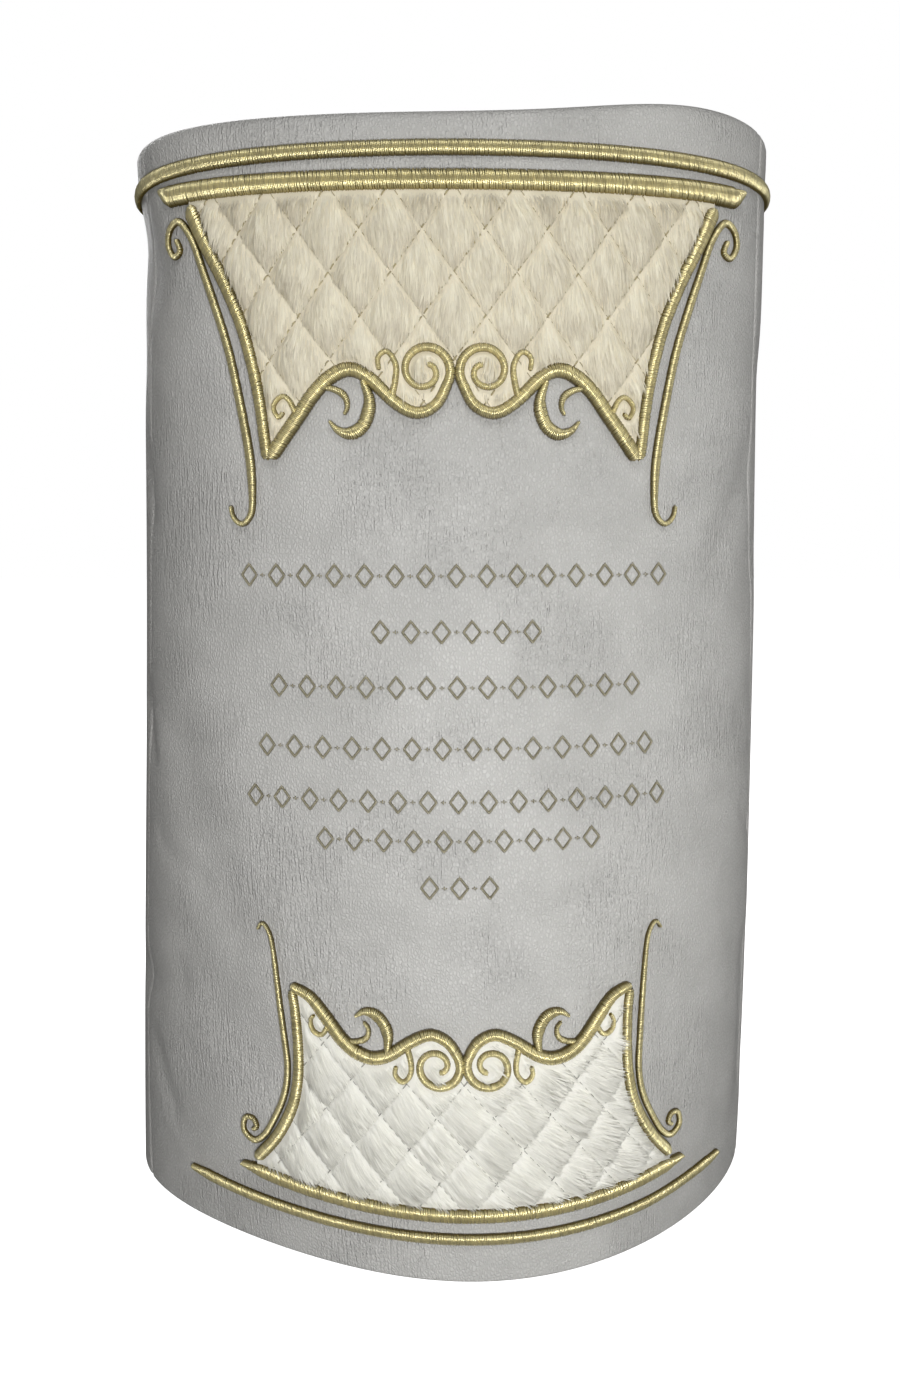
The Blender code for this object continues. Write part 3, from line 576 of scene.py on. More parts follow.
BANDS = {
    "heading_bar": dict(zip(BAND_COLUMNS, (559.0, 10.4, 160.0, 3.0, 7.0, 3.5, 0.0, 160.0, 4.0))),
    "lower_bar": dict(zip(BAND_COLUMNS, (36.5, 8.0, 130.0, 2.0, 14.0, 0.0, 8.5, 130.0, 3.9))),
    "hem_band": dict(zip(BAND_COLUMNS, (23.5, 6.0, 172.0, 3.0, 14.0, 0.0, 5.5, 172.0, 2.6))),
    "top_band": dict(zip(BAND_COLUMNS, (574.5, 7.6, 450.8, 7.6, 14.0, 0.0, -6.0, 216.0, 2.7))),
}
END_STATIONS = (0.0, 0.12, 0.4, 0.9, 1.5)
THINNEST_END = 0.06
THREAD_SPREAD = 1.2
END_RISE = 0.35


def smooth_route(anchors, step):
    """Stations along a curve that passes through every anchor."""
    anchors = np.array(anchors, float)
    padded = np.concatenate([[2 * anchors[0] - anchors[1]], anchors, [2 * anchors[-1] - anchors[-2]]])
    stations = []
    for before, start, end, after in zip(padded, padded[1:], padded[2:], padded[3:]):
        count = max(1, round(float(np.linalg.norm(end - start)) / step))
        for share in np.arange(count) / count:
            stations.append(0.5 * (
                2 * start
                + (end - before) * share
                + (2 * before - 5 * start + 4 * end - after) * share ** 2
                + (3 * start - before - 3 * end + after) * share ** 3
            ))
    stations.append(anchors[-1])
    return np.array(stations)


def volute_route(volute):
    """A spiral that winds in from its outer radius."""
    share = np.linspace(0, 1, round(abs(volute["sweep"]) / VOLUTE_STEP) + 1)
    angle = np.radians(volute["start"] + volute["sweep"] * share)
    radius = volute["radius"] - (volute["radius"] - volute["inner_radius"]) * share ** VOLUTE_TIGHTENING
    return np.array(volute["centre"]) + radius[:, None] * np.stack([np.cos(angle), np.sin(angle)], axis=-1)


def lengths_along(route):
    return np.concatenate([[0], np.cumsum(np.linalg.norm(np.diff(route, axis=0), axis=1))])


def stroke(route, widths, rise):
    """A line on the cloth with stations close together at its ends, which are round."""
    along = lengths_along(route)
    regular = np.linspace(0, along[-1], max(2, round(along[-1] / ROUTE_STEP)) + 1)
    ends = np.array(END_STATIONS)
    wanted = np.unique(np.round(np.concatenate([regular, ends, along[-1] - ends]), 4))
    wanted = wanted[(wanted >= 0) & (wanted <= along[-1])]
    placed = np.stack([np.interp(wanted, along, route[:, axis]) for axis in (0, 1)], axis=-1)
    marks = np.linspace(0, 1, len(widths))
    half = THREAD_SPREAD * np.interp(wanted / wanted[-1], marks, np.array(widths) / 2)
    return rounded_line(placed, half, rise, np.minimum(wanted, wanted[-1] - wanted), half)


def rounded_line(route, half, rise, to_end, radius):
    """A line whose ends are round, with a radius, and a little lower."""
    share = np.clip(to_end / radius, 0, 1)
    rounded = np.maximum(np.sqrt(share * (2 - share)), THINNEST_END)
    return {"route": route, "half": half * rounded, "rise": rise * (END_RISE + (1 - END_RISE) * rounded)}


def frame_strokes(strokes, volute):
    """The lines of one frame piece on the right half; its border winds into the volute."""
    drawn = []
    for name, (anchors, widths, rise) in strokes.items():
        route = smooth_route(anchors, ROUTE_STEP)
        if name == "border":
            spiral = volute_route(volute)
            joined = smooth_route([*anchors, spiral[0], spiral[VOLUTE_STEPS_TO_JOIN]], ROUTE_STEP)
            finish = np.argmin(np.linalg.norm(joined - spiral[0], axis=1))
            route = np.concatenate([joined[:finish], spiral])
            widths = (*widths, *VOLUTE_WIDTHS)
        drawn.append(stroke(route, widths, rise))
    return drawn


def mirrored(strokes):
    """The same lines on the left half, run from the far end."""
    return [
        {"route": line["route"][::-1] * (-1, 1), "half": line["half"][::-1], "rise": line["rise"][::-1]}
        for line in strokes
    ]


def band_height(band, around):
    return band["height"] + band["bow"] * np.minimum(np.abs(around) / band["bow_reach"], 1) ** 2


def band_stroke(band):
    """A band that bows up or down and narrows to its tips."""
    reach = band["reach"]
    regular = np.linspace(-reach, reach, round(2 * reach / ROUTE_STEP) + 1)
    ends = reach - np.array(END_STATIONS)
    around = np.unique(np.round(np.concatenate([regular, ends, -ends]), 4))
    to_tip = reach - np.abs(around)
    narrowed = np.clip(1 - to_tip / band["narrowing"], 0, 1)
    half = (band["tall"] + (band["tip"] - band["tall"]) * narrowed) / 2
    route = np.stack([around, band_height(band, around) + band["tip_rise"] * narrowed], axis=-1)
    return rounded_line(route, half, band["rise"], to_tip, band["tip"] / 2)


UPPER_FRAME = frame_strokes(UPPER_STROKES, UPPER_VOLUTE)
LOWER_FRAME = frame_strokes(LOWER_STROKES, LOWER_VOLUTE)
OUTER_LINES = {
    "upper_line": [stroke(smooth_route(UPPER_LINE[0], ROUTE_STEP), *UPPER_LINE[1:])],
    "lower_line": [stroke(smooth_route(LOWER_LINE[0], ROUTE_STEP), *LOWER_LINE[1:])],
}
GOLD_LINES = {name: [band_stroke(band)] for name, band in BANDS.items()}
for part_name, lines in (("upper_frame", UPPER_FRAME), ("lower_frame", LOWER_FRAME), *OUTER_LINES.items()):
    GOLD_LINES[part_name + "_right"] = lines
    GOLD_LINES[part_name + "_left"] = mirrored(lines)
stitched_length = sum(lengths_along(line["route"])[-1] for lines in GOLD_LINES.values() for line in lines)
print("gold line in all:", round(stitched_length), "mm")

# %% Distances to the gold lines
def nearness(places, strokes):
    """How far each place lies past the edge of the nearest line."""
    past = np.full(len(places), np.inf)
    for line in strokes:
        route, half = line["route"], line["half"]
        for start, end, near, far in zip(route[:-1:2], route[2::2], half[:-1:2], half[2::2]):
            run = end - start
            along = np.clip((places - start) @ run / (run @ run), 0, 1)
            distance = np.linalg.norm(places - start - along[:, None] * run, axis=1)
            past = np.minimum(past, distance - near - (far - near) * along)
    return past


# %% [markdown]
# ## The leather panels
#
# A front and a back panel are sewn together at the sides. Their edges are turned in, so a dark line
# shows where they meet. At the top they turn over the rim of the stiff top, and the hem is folded up
# inside, which makes it thicker. Each panel is a fine grid on the wall. It is hung in code and not
# simulated, because the leather is stiff and its troughs are known.

# %% Leather panel
EDGE_STEPS = np.array([0, 0.35, 0.8, 1.4, 2.2, 3.2, 4.5, 6.0, 7.8, 9.8, 12.0])
SEAM_ROLL = {"reach": 3.2, "drop": 1.7}
TOP_ROLL = {"reach": 2.2, "drop": 1.0}
HEM_ROLL = {"reach": 1.8, "drop": 1.0}
HEM_TURNED_UP = 28.0
HEM_STEP = 2.0
INSIDE_ROLL_SHARE = 0.8
LEAST_THICKNESS = 0.25
SINGLE_THICKNESS = 1.5
PUCKER = {"reach": 3.4, "depth": 0.45}


def edged_steps(length, count):
    """Distances along a length, closer together at both ends."""
    inner = np.linspace(EDGE_STEPS[-1], length - EDGE_STEPS[-1], count)[1:-1]
    return np.concatenate([EDGE_STEPS, inner, (length - EDGE_STEPS)[::-1]])


def rolled(distance, roll):
    """How far a turned edge falls away, at a distance from the edge."""
    share = np.clip(1 - distance / roll["reach"], 0, 1)
    return roll["drop"] * (1 - np.sqrt(1 - share ** 2))


def panel_ends(side, climb):
    """Where a panel starts and ends at some heights."""
    seam = seam_place(climb)
    start, end = (-seam, seam) if side == "front" else (seam, perimeter(climb) - seam)
    return start + GAP / 2, end - GAP / 2


def leather_panel(name, side, columns, rows, trim):
    """A sheet of leather from one side seam to the other, and from the hem over the rim of the top."""
    start, end = (float(value) for value in panel_ends(side, np.array(WALL_HEIGHT)))
    share = edged_steps(end - start, columns) / (end - start)
    top = start + (end - start) * share
    shoulder = rim_height(wall_frame(top, np.full(len(top), WALL_HEIGHT))[0][:, 0]) - SHOULDER_RADIUS
    length = shoulder + SHOULDER_RADIUS * math.pi / 2
    height = edged_steps(WALL_HEIGHT, rows)[:, None] / WALL_HEIGHT * length
    left, right = panel_ends(side, height)
    around = left + (right - left) * share
    from_seam = np.minimum(around - left, right - around)
    places = np.stack([around.ravel(), height.ravel()], axis=-1)
    out = -rolled(from_seam, SEAM_ROLL) - rolled(length - height, TOP_ROLL) - rolled(height, HEM_ROLL)
    out = out.ravel()
    if trim:
        pulled = np.exp(-(np.maximum(nearness(places, trim), 0) / PUCKER["reach"]) ** 2)
        out = out - PUCKER["depth"] * pulled
    turned = np.clip((height.ravel() - HEM_TURNED_UP) / HEM_STEP + 0.5, 0, 1)
    inner = -LEATHER_THICKNESS + (LEATHER_THICKNESS - SINGLE_THICKNESS) * turned
    inner = inner + rolled(height.ravel(), HEM_ROLL) * INSIDE_ROLL_SHARE
    inner = np.minimum(inner, out - LEAST_THICKNESS)
    return panel_mesh(name, places, around.shape, out, inner)


def panel_mesh(name, places, shape, out, inner):
    """A closed shell from a grid of places, with a map of the cloth in metres."""
    rows, columns = shape
    count = rows * columns
    index = np.arange(count).reshape(shape)
    low_left, low_right = index[:-1, :-1].ravel(), index[:-1, 1:].ravel()
    high_left, high_right = index[1:, :-1].ravel(), index[1:, 1:].ravel()
    outer_faces = np.stack([low_left, low_right, high_right, high_left], axis=-1)
    inner_faces = outer_faces[:, ::-1] + count
    loop = np.concatenate([index[0, :-1], index[:-1, -1], index[-1, :0:-1], index[:0:-1, 0]])
    ahead = np.roll(loop, -1)
    rim = np.stack([ahead, loop, loop + count, ahead + count], axis=-1)
    points = np.concatenate([on_wall(places, out), on_wall(places, inner)])
    mesh = bpy.data.meshes.new(name)
    mesh.from_pydata(points.tolist(), [], np.concatenate([outer_faces, inner_faces, rim]).tolist())
    corner = np.empty(len(mesh.loops), int)
    mesh.loops.foreach_get("vertex_index", corner)
    mesh.uv_layers.new(name="cloth").data.foreach_set("uv", (places[corner % count] * MM).ravel())
    return add_piece(name, mesh, PANEL_LEATHER)


def add_piece(name, mesh, *finishes):
    """Links a smooth-shaded object with its finishes."""
    for finish in finishes:
        mesh.materials.append(finish)
    mesh.shade_smooth()
    piece = bpy.data.objects.new(name, mesh)
    bpy.context.scene.collection.objects.link(piece)
    return piece


def store(mesh, name, kind, values):
    """Writes an attribute on the mesh's points."""
    label = "vector" if kind == "FLOAT_VECTOR" else "value"
    mesh.attributes.new(name, kind, "POINT").data.foreach_set(label, values)


def triangles_of(piece):
    return sum(len(face.vertices) - 2 for face in piece.data.polygons)


def finish_piece(piece, slot, *replaced):
    """Says what carries the piece and which solids it stands for. Its slot, the finish's name, is not used.
    """
    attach(piece, "root")
    if replaced:
        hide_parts(*replaced)
    print(piece.name, triangles_of(piece), "triangles")


ALL_GOLD = [line for lines in GOLD_LINES.values() for line in lines]
PANEL_GRIDS = {"front": (200, 150), "back": (120, 80)}
for side, (columns, rows) in PANEL_GRIDS.items():
    trim = ALL_GOLD if side == "front" else GOLD_LINES["top_band"]
    panel = leather_panel(side + "_leather", side, columns, rows, trim)
    start, end = panel_ends(side, np.linspace(0, WALL_HEIGHT, 13))
    cut_length = RIM_HEIGHT + RIM_SWELL["height"] + SHOULDER_RADIUS * (math.pi / 2 - 1)
    cut_area = float(np.mean(end - start)) * (cut_length - RIM_SWELL["height"] / 2) * MM * MM
    finish_piece(panel, "pearl_leather", side + "_panel")
    cut_width = float(np.max(end - start))
    print(panel.name, "is cut", round(cut_width), "x", round(cut_length), "mm,", round(cut_area, 3), "m2")

# %% [markdown]
# ## The stiff top
#
# A board is covered with the same leather, and the panels are turned over its rim and sewn down. Its right
# shoulder swells a little. Two round holes let the scroll's rollers through. Round each hole the leather is
# folded down into the bore, which leaves a low swelling. The flat parts are triangles between the loops.

# %% Stiff top
ROLLER_HOLE_DIAMETER = 46.0
ROLLER_SPACING = 172.0
CAP_SIDES = 240
HOLE_SIDES = 72
CAP_LATTICE = 7.0
CAP_BASE = WALL_HEIGHT + GAP
LATTICE_REACH = (190, 110)
LATTICE_MARGIN = 4
LOOP_SLACK = 0.05
EDGE_PROFILE = ((4.2, None), (6.2, -2.6), (7.3, -2.3), (7.3, -1.2), (7.45, -0.6), (7.9, -0.2), (8.8, 0.0),
                (11.0, 0.0))
BORE_PROFILE = ((1.2, 0.0, 0.0), (0.2, 0.1, 0.0), (0.0, 0.3, 0.0), (0.0, 0.75, 0.0), (0.25, 0.95, 0.0),
                (0.9, 1.0, 0.5), (2.0, 1.0, 0.8), (3.4, 1.0, 0.6), (4.8, 1.0, 0.15), (6.4, 1.0, 0.0))


def is_inside(places, outline):
    """Whether each place lies within a loop."""
    inside = np.zeros(len(places), bool)
    x, y = places.T
    for (ax, ay), (bx, by) in zip(outline, np.roll(outline, -1, axis=0)):
        if ay != by:
            crosses = ((ay > y) != (by > y)) & (x < ax + (y - ay) * (bx - ax) / (by - ay))
            inside ^= crosses
    return inside


class StiffTop:
    """Points and faces of the top, gathered ring by ring."""

    def __init__(self):
        self.points = []
        self.faces = []
        level = np.full(CAP_SIDES, WALL_HEIGHT)
        around = np.linspace(0, float(perimeter(level)[0]), CAP_SIDES, endpoint=False)
        self.outline, self.outward = wall_frame(around, level)
        self.middle = (self.outline.min(axis=0) + self.outline.max(axis=0)) / 2

    def add_points(self, flat, height):
        first = len(self.points)
        self.points += np.column_stack([flat, np.broadcast_to(height, len(flat))]).tolist()
        return np.arange(first, first + len(flat))

    def strip(self, lower, upper):
        after_lower, after_upper = np.roll(lower, -1), np.roll(upper, -1)
        self.faces += np.stack([lower, after_lower, after_upper, upper], axis=-1).tolist()

    def rings(self, levels):
        added = [self.add_points(flat, height) for flat, height in levels]
        for lower, upper in zip(added, added[1:]):
            self.strip(lower, upper)
        return added[0], added[-1]

    def edge_rings(self):
        """The edge under the turned leather, and the seam where the two meet."""
        rim = rim_height(self.outline[:, 0])
        rings = []
        for inset, drop in EDGE_PROFILE:
            height = CAP_BASE if drop is None else np.maximum(rim + drop, CAP_BASE)
            rings.append((self.outline - inset * self.outward, height))
        return self.rings(rings)

    def bore_rings(self, centre, circle):
        """The leather folded down into one roller hole."""
        rings = []
        for grow, share, swelling in BORE_PROFILE:
            flat = centre + circle * (ROLLER_HOLE_DIAMETER / 2 + grow)
            rings.append((flat, CAP_BASE + share * (rim_height(flat[:, 0]) - CAP_BASE) + swelling))
        return self.rings(rings)

    def flat_face(self, loops, lattice, height):
        """Triangles between an outer loop and the holes' loops."""
        known = np.concatenate(loops)
        flat = np.array(self.points)[known][:, :2]
        extra = self.add_points(lattice, height) if len(lattice) else np.array([], int)
        known = np.concatenate([known, extra])
        flat = np.concatenate([flat, lattice]) if len(lattice) else flat
        edges, holes, start = [], [], 0
        for loop in loops:
            edges += [(start + i, start + (i + 1) % len(loop)) for i in range(len(loop))]
            ring = flat[start:start + len(loop)]
            holes.append((ring.mean(axis=0), np.linalg.norm(ring[0] - ring.mean(axis=0))))
            start += len(loop)
        del holes[0]
        places, _, triangles, sources, _, _ = delaunay_2d_cdt([Vector(p) for p in flat], edges, [], 0, 1e-5)
        for triangle in triangles:
            centre = np.mean([places[corner] for corner in triangle], axis=0)
            if all(np.linalg.norm(centre - middle) > radius - LOOP_SLACK for middle, radius in holes):
                self.faces.append([int(known[sources[corner][0]]) for corner in triangle])


def stiff_top():
    top = StiffTop()
    low_edge, high_edge = top.edge_rings()
    angles = np.linspace(0, 2 * math.pi, HOLE_SIDES, endpoint=False)
    circle = np.stack([np.cos(angles), np.sin(angles)], axis=-1)
    lows, highs, centres = [low_edge], [high_edge], []
    for sign in (-1, 1):
        centre = top.middle + (sign * ROLLER_SPACING / 2, 0)
        low, high = top.bore_rings(centre, circle)
        lows.append(low)
        highs.append(high)
        centres.append(centre)
    span = np.arange(-LATTICE_REACH[0], LATTICE_REACH[0] + 1, CAP_LATTICE)
    rows = span[np.abs(span) < LATTICE_REACH[1]]
    lattice = np.stack([axis.ravel() for axis in np.meshgrid(span, rows)], axis=-1)
    inner_edge = top.outline - (EDGE_PROFILE[-1][0] + LATTICE_MARGIN) * top.outward
    inside = is_inside(lattice, inner_edge)
    bare = ROLLER_HOLE_DIAMETER / 2 + BORE_PROFILE[-1][0] + LATTICE_MARGIN
    for centre in centres:
        inside &= np.linalg.norm(lattice - centre, axis=1) > bare
    top.flat_face(highs, lattice[inside], rim_height(lattice[inside, 0]))
    top.flat_face(lows, np.empty((0, 2)), CAP_BASE)
    mesh = bpy.data.meshes.new("cap_leather")
    mesh.from_pydata((np.array(top.points) * MM).tolist(), [], top.faces)
    shell = bmesh.new()
    shell.from_mesh(mesh)
    bmesh.ops.recalc_face_normals(shell, faces=shell.faces)
    shell.to_mesh(mesh)
    open_edges = sum(len(edge.link_faces) != 2 for edge in shell.edges)
    shell.free()
    print("open edges in the stiff top:", open_edges)
    return add_piece("cap_leather", mesh, TOP_LEATHER)


finish_piece(stiff_top(), "pearl_leather", "top_cap")

# %% [markdown]
# ## Stitches by Geometry Nodes
#
# One tree lays every stitch on the mantle. A path along the wall is resampled at the stitch pitch, and a
# bent thread goes on each point: across the path for satin stitch, and along it for running stitch. The
# path carries how wide and how high the stitch is and which way is out, so the same tree follows bars,
# spirals and seams.

# %% Stitch tree
STITCH_INPUTS = (
    ("Pitch", "NodeSocketFloat"),
    ("Thread Width", "NodeSocketFloat"),
    ("Relief", "NodeSocketFloat"),
    ("Slant", "NodeSocketFloat"),
    ("Unevenness", "NodeSocketFloat"),
    ("Sides", "NodeSocketInt"),
    ("Bends", "NodeSocketInt"),
    ("Seed", "NodeSocketInt"),
    ("Thread", "NodeSocketMaterial"),
)
STITCH_TONES = (0.25, 1.0)


def new_node_group(name, inputs):
    group = bpy.data.node_groups.new(name, "GeometryNodeTree")
    group.interface.new_socket("Geometry", in_out="INPUT", socket_type="NodeSocketGeometry")
    for label, kind in inputs:
        group.interface.new_socket(label, in_out="INPUT", socket_type=kind)
    group.interface.new_socket("Geometry", in_out="OUTPUT", socket_type="NodeSocketGeometry")
    bench = Bench(group)
    return group, bench, bench.node("NodeGroupInput")


def read_attribute(bench, name, data_type="FLOAT"):
    return bench.node("GeometryNodeInputNamedAttribute", {"data_type": data_type}, {"Name": name})


def point_parts(bench):
    return bench.node("ShaderNodeSeparateXYZ", {}, {"Vector": bench.node("GeometryNodeInputPosition")})


def told(bench, geometry, name, value, domain):
    """The same geometry with a number stored on it for its material."""
    values = {"Geometry": geometry, "Name": name, "Value": value}
    return bench.node("GeometryNodeStoreNamedAttribute", {"data_type": "FLOAT", "domain": domain}, values)


def random_between(bench, low, high, seed):
    values = {2: low, 3: high, 8: seed}
    return bench.node("FunctionNodeRandomValue", {"data_type": "FLOAT"}, values, 1)


def turned_by(bench, rotation, x, y, z):
    """A rotation turned further about its own axes."""
    angles = bench.node("ShaderNodeCombineXYZ", {}, {"X": x, "Y": y, "Z": z})
    extra = bench.node("FunctionNodeEulerToRotation", {}, {"Euler": angles})
    values = {"Rotation": rotation, "Rotate By": extra}
    return bench.node("FunctionNodeRotateRotation", {"rotation_space": "LOCAL"}, values)


def close_tree(bench, geometry, thread, kept):
    """Ends a tree: the instances become mesh with their material, next to what is kept."""
    plain = bench.node("GeometryNodeRealizeInstances", {}, {"Geometry": geometry})
    coloured = bench.node("GeometryNodeSetMaterial", {}, {"Geometry": plain, "Material": thread})
    joined = bench.tree.nodes.new("GeometryNodeJoinGeometry")
    for part in (coloured, kept):
        bench.tree.links.new(part.socket, joined.inputs[0])
    end = bench.tree.nodes.new("NodeGroupOutput")
    bench.tree.links.new(joined.outputs[0], end.inputs[0])


def bent_thread(bench, given):
    """One stitch: a thread bent into a half circle of radius 1 over the X axis."""
    counts = {"Vertices": given.out("Sides"), "Side Segments": given.out("Bends")}
    rod = bench.node("GeometryNodeMeshCylinder", {}, {**counts, "Radius": 1.0, "Depth": 1.0})
    point = point_parts(bench)
    angle = (0.5 - point.out("Z")) * math.pi
    radius = 1.0 + point.out("X") * given.out("Relief")
    bent = {
        "X": angle.math("COSINE") * radius,
        "Y": point.out("Y") * given.out("Thread Width") * 0.5,
        "Z": angle.math("SINE") * radius,
    }
    position = bench.node("ShaderNodeCombineXYZ", {}, bent)
    laid = bench.node("GeometryNodeSetPosition", {}, {"Geometry": rod, "Position": position})
    # The height up the arch is stored as crest, so that the finish can paint shade at a stitch's feet.
    return told(bench, laid, "crest", point_parts(bench).out("Z"), "POINT")


def stitch_tree():
    group, bench, given = new_node_group("stitches", STITCH_INPUTS)
    picked = {"Geometry": given.out("Geometry"), "Selection": read_attribute(bench, "path", "BOOLEAN")}
    parts = bench.node("GeometryNodeSeparateGeometry", {"domain": "POINT"}, picked)
    curve = bench.node("GeometryNodeMeshToCurve", {}, {"Mesh": parts})
    steps = {"Curve": curve, "Length": given.out("Pitch")}
    spaced = bench.node("GeometryNodeResampleCurve", {"mode": "LENGTH"}, steps)
    axes = {
        "Primary Axis": read_attribute(bench, "up", "FLOAT_VECTOR"),
        "Secondary Axis": bench.node("GeometryNodeInputTangent"),
    }
    level = bench.node("FunctionNodeAxesToRotation", {"primary_axis": "Z", "secondary_axis": "Y"}, axes)
    uneven = given.out("Unevenness")
    seed = given.out("Seed")
    lean = random_between(bench, -1.0, 1.0, seed) * uneven
    turned = turned_by(bench, level, 0.0, 0.0, given.out("Slant") + lean)
    rise = read_attribute(bench, "rise") * (1 + random_between(bench, -0.5, 0.5, seed + 1) * uneven)
    size = bench.node("ShaderNodeCombineXYZ", {}, {"X": read_attribute(bench, "half"), "Y": 1.0, "Z": rise})
    laid = {"Points": spaced, "Instance": bent_thread(bench, given), "Rotation": turned, "Scale": size}
    stitches = bench.node("GeometryNodeInstanceOnPoints", {}, laid)
    toned = told(bench, stitches, "tone", random_between(bench, *STITCH_TONES, seed + 2), "INSTANCE")
    close_tree(bench, toned, given.out("Thread"), parts.out("Inverted"))
    return group


STITCHES = stitch_tree()


def grow(piece, group, values):
    """Runs a tree on a piece and leaves plain mesh."""
    modifier = piece.modifiers.new(group.name, "NODES")
    modifier.node_group = group
    for item in group.interface.items_tree:
        if item.in_out == "INPUT" and item.name in values:
            modifier[item.identifier] = values[item.name]
    graph = bpy.context.evaluated_depsgraph_get()
    result = piece.evaluated_get(graph)
    made = bpy.data.meshes.new_from_object(result, preserve_all_data_layers=True, depsgraph=graph)
    piece.modifiers.clear()
    old = piece.data
    piece.data = made
    bpy.data.meshes.remove(old)
    for name in ("path", "half", "rise", "up", "comb", "pile"):
        if name in made.attributes:
            made.attributes.remove(made.attributes[name])
    made.shade_smooth()


print("stitch tree:", len(STITCHES.nodes), "nodes")

# %% [markdown]
# ## The gold lines
#
# Each line has a padded core, a low dome that reaches down to the leather, and satin stitches over it.
# The core is swept along the line on the wall. The path of the stitches is a chain of edges in the same
# mesh, so that one tree can read both.

# %% Padded core and stitch path
CORE_BENDS = 8
CORE_SHARE = 0.94
CORE_FOOT = -0.4
SATIN = {"Pitch": 0.00088, "Thread Width": 0.00100, "Relief": 0.11, "Slant": 0.16, "Unevenness": 0.09,
         "Sides": 4, "Bends": 6}


def normals_along(route):
    """The direction square to a line on the cloth, at each station."""
    heading = np.gradient(route, axis=0)
    heading /= np.linalg.norm(heading, axis=1)[:, None]
    return np.stack([-heading[:, 1], heading[:, 0]], axis=-1)


class Embroidery:
    """Cores and paths of the lines in one piece."""

    def __init__(self):
        self.points = []
        self.faces = []
        self.edges = []
        self.path_data = []

    def core(self, line):
        """A dome swept along a line, closed below and at its ends."""
        angles = np.linspace(0, math.pi, CORE_BENDS + 1)
        across = np.concatenate([[1], np.cos(angles), [-1]]) * CORE_SHARE
        upward = np.concatenate([[0], np.sin(angles), [0]]) * CORE_SHARE
        foot = np.zeros(len(across))
        foot[[0, -1]] = CORE_FOOT
        side = normals_along(line["route"])
        places = line["route"][:, None] + side[:, None] * (line["half"][:, None] * across)[..., None]
        out = line["rise"][:, None] * upward + foot
        first, ring = len(self.points), len(across)
        self.points += on_wall(places.reshape(-1, 2), out.ravel()).tolist()
        self.path_data += [None] * out.size
        for station in range(len(line["route"]) - 1):
            here, there = first + station * ring, first + (station + 1) * ring
            for i in range(ring):
                j = (i + 1) % ring
                self.faces.append((here + i, there + i, there + j, here + j))
        self.faces.append(tuple(range(first, first + ring)))
        last = first + (len(line["route"]) - 1) * ring
        self.faces.append(tuple(range(last + ring - 1, last - 1, -1)))

    def path(self, line, out=0.0, closed=False):
        """The chain of edges that stitches follow, with which way is up and their half widths and rises."""
        first, count = len(self.points), len(line["route"])
        base = on_wall(line["route"], out)
        up = on_wall(line["route"], out + 1.0) - base
        up /= np.linalg.norm(up, axis=1)[:, None]
        self.points += base.tolist()
        for vector, half, rise in zip(up, line["half"], line["rise"]):
            self.path_data.append((vector, half * MM, rise * MM))
        self.edges += [(first + i, first + i + 1) for i in range(count - 1)]
        if closed:
            self.edges.append((first + count - 1, first))

    def piece(self, name, *finishes):
        mesh = bpy.data.meshes.new(name)
        mesh.from_pydata(self.points, self.edges, self.faces)
        up, half, rise = zip(*[row or ((0.0, 0.0, 1.0), 0.0, 0.0) for row in self.path_data])
        store(mesh, "path", "BOOLEAN", [row is not None for row in self.path_data])
        store(mesh, "up", "FLOAT_VECTOR", np.concatenate(up))
        store(mesh, "half", "FLOAT", half)
        store(mesh, "rise", "FLOAT", rise)
        return add_piece(name, mesh, *finishes)


# %% Sew the gold lines
for seed, (node, lines) in enumerate(sorted(GOLD_LINES.items())):
    sewing = Embroidery()
    for line in lines:
        sewing.core(line)
    for line in lines:
        sewing.path(line)
    sewn = sewing.piece(node + "_stitching", GOLD_THREAD)
    grow(sewn, STITCHES, {**SATIN, "Seed": 10 * seed, "Thread": GOLD_THREAD})
    finish_piece(sewn, "gold_thread", node)

# %% [markdown]
# ## Rows of small lozenges
#
# The leather between the fur panels carries seven rows of fine stitching: plain open lozenges with a dot
# between each two, a repeat that any embroiderer knows. They are thin and low, and their thread is duller
# than the borders'.

# %% Lozenge rows
LOZENGE = {"wide": 8.6, "tall": 11.0, "line": 1.35, "rise": 0.75}
LOZENGE_PITCH = 15.4
ROW_COLUMNS = ("height", "lozenges")
LOZENGE_ROWS = ((366, 15), (338, 6), (310, 13), (279, 14), (252, 15), (232, 10), (208, 3))
DOT = {"wide": 2.0, "line": 2.0, "rise": 0.8}
FINE_SATIN = {"Pitch": 0.00072, "Thread Width": 0.00085, "Relief": 0.16, "Slant": 0.1, "Unevenness": 0.08,
              "Sides": 3, "Bends": 4}
STEPS_TO_SIDE = 6
DOT_ENDS = 0.35


def lozenge_line(centre):
    """A closed diamond, drawn as a path."""
    corners = np.array([(0, 1), (1, 0), (0, -1), (-1, 0)]) * (LOZENGE["wide"] / 2, LOZENGE["tall"] / 2)
    route = []
    for start, end in zip(corners, np.roll(corners, -1, axis=0)):
        shares = np.arange(STEPS_TO_SIDE) / STEPS_TO_SIDE
        route += [centre + start + (end - start) * share for share in shares]
    size = np.ones(len(route))
    return {"route": np.array(route), "half": LOZENGE["line"] / 2 * size, "rise": LOZENGE["rise"] * size}


def dot_line(centre):
    route = np.array([(-DOT["wide"] / 2, 0), (0, 0), (DOT["wide"] / 2, 0)]) + centre
    half = np.array([DOT_ENDS, 1, DOT_ENDS]) * DOT["line"] / 2
    return {"route": route, "half": half, "rise": np.full(3, DOT["rise"])}


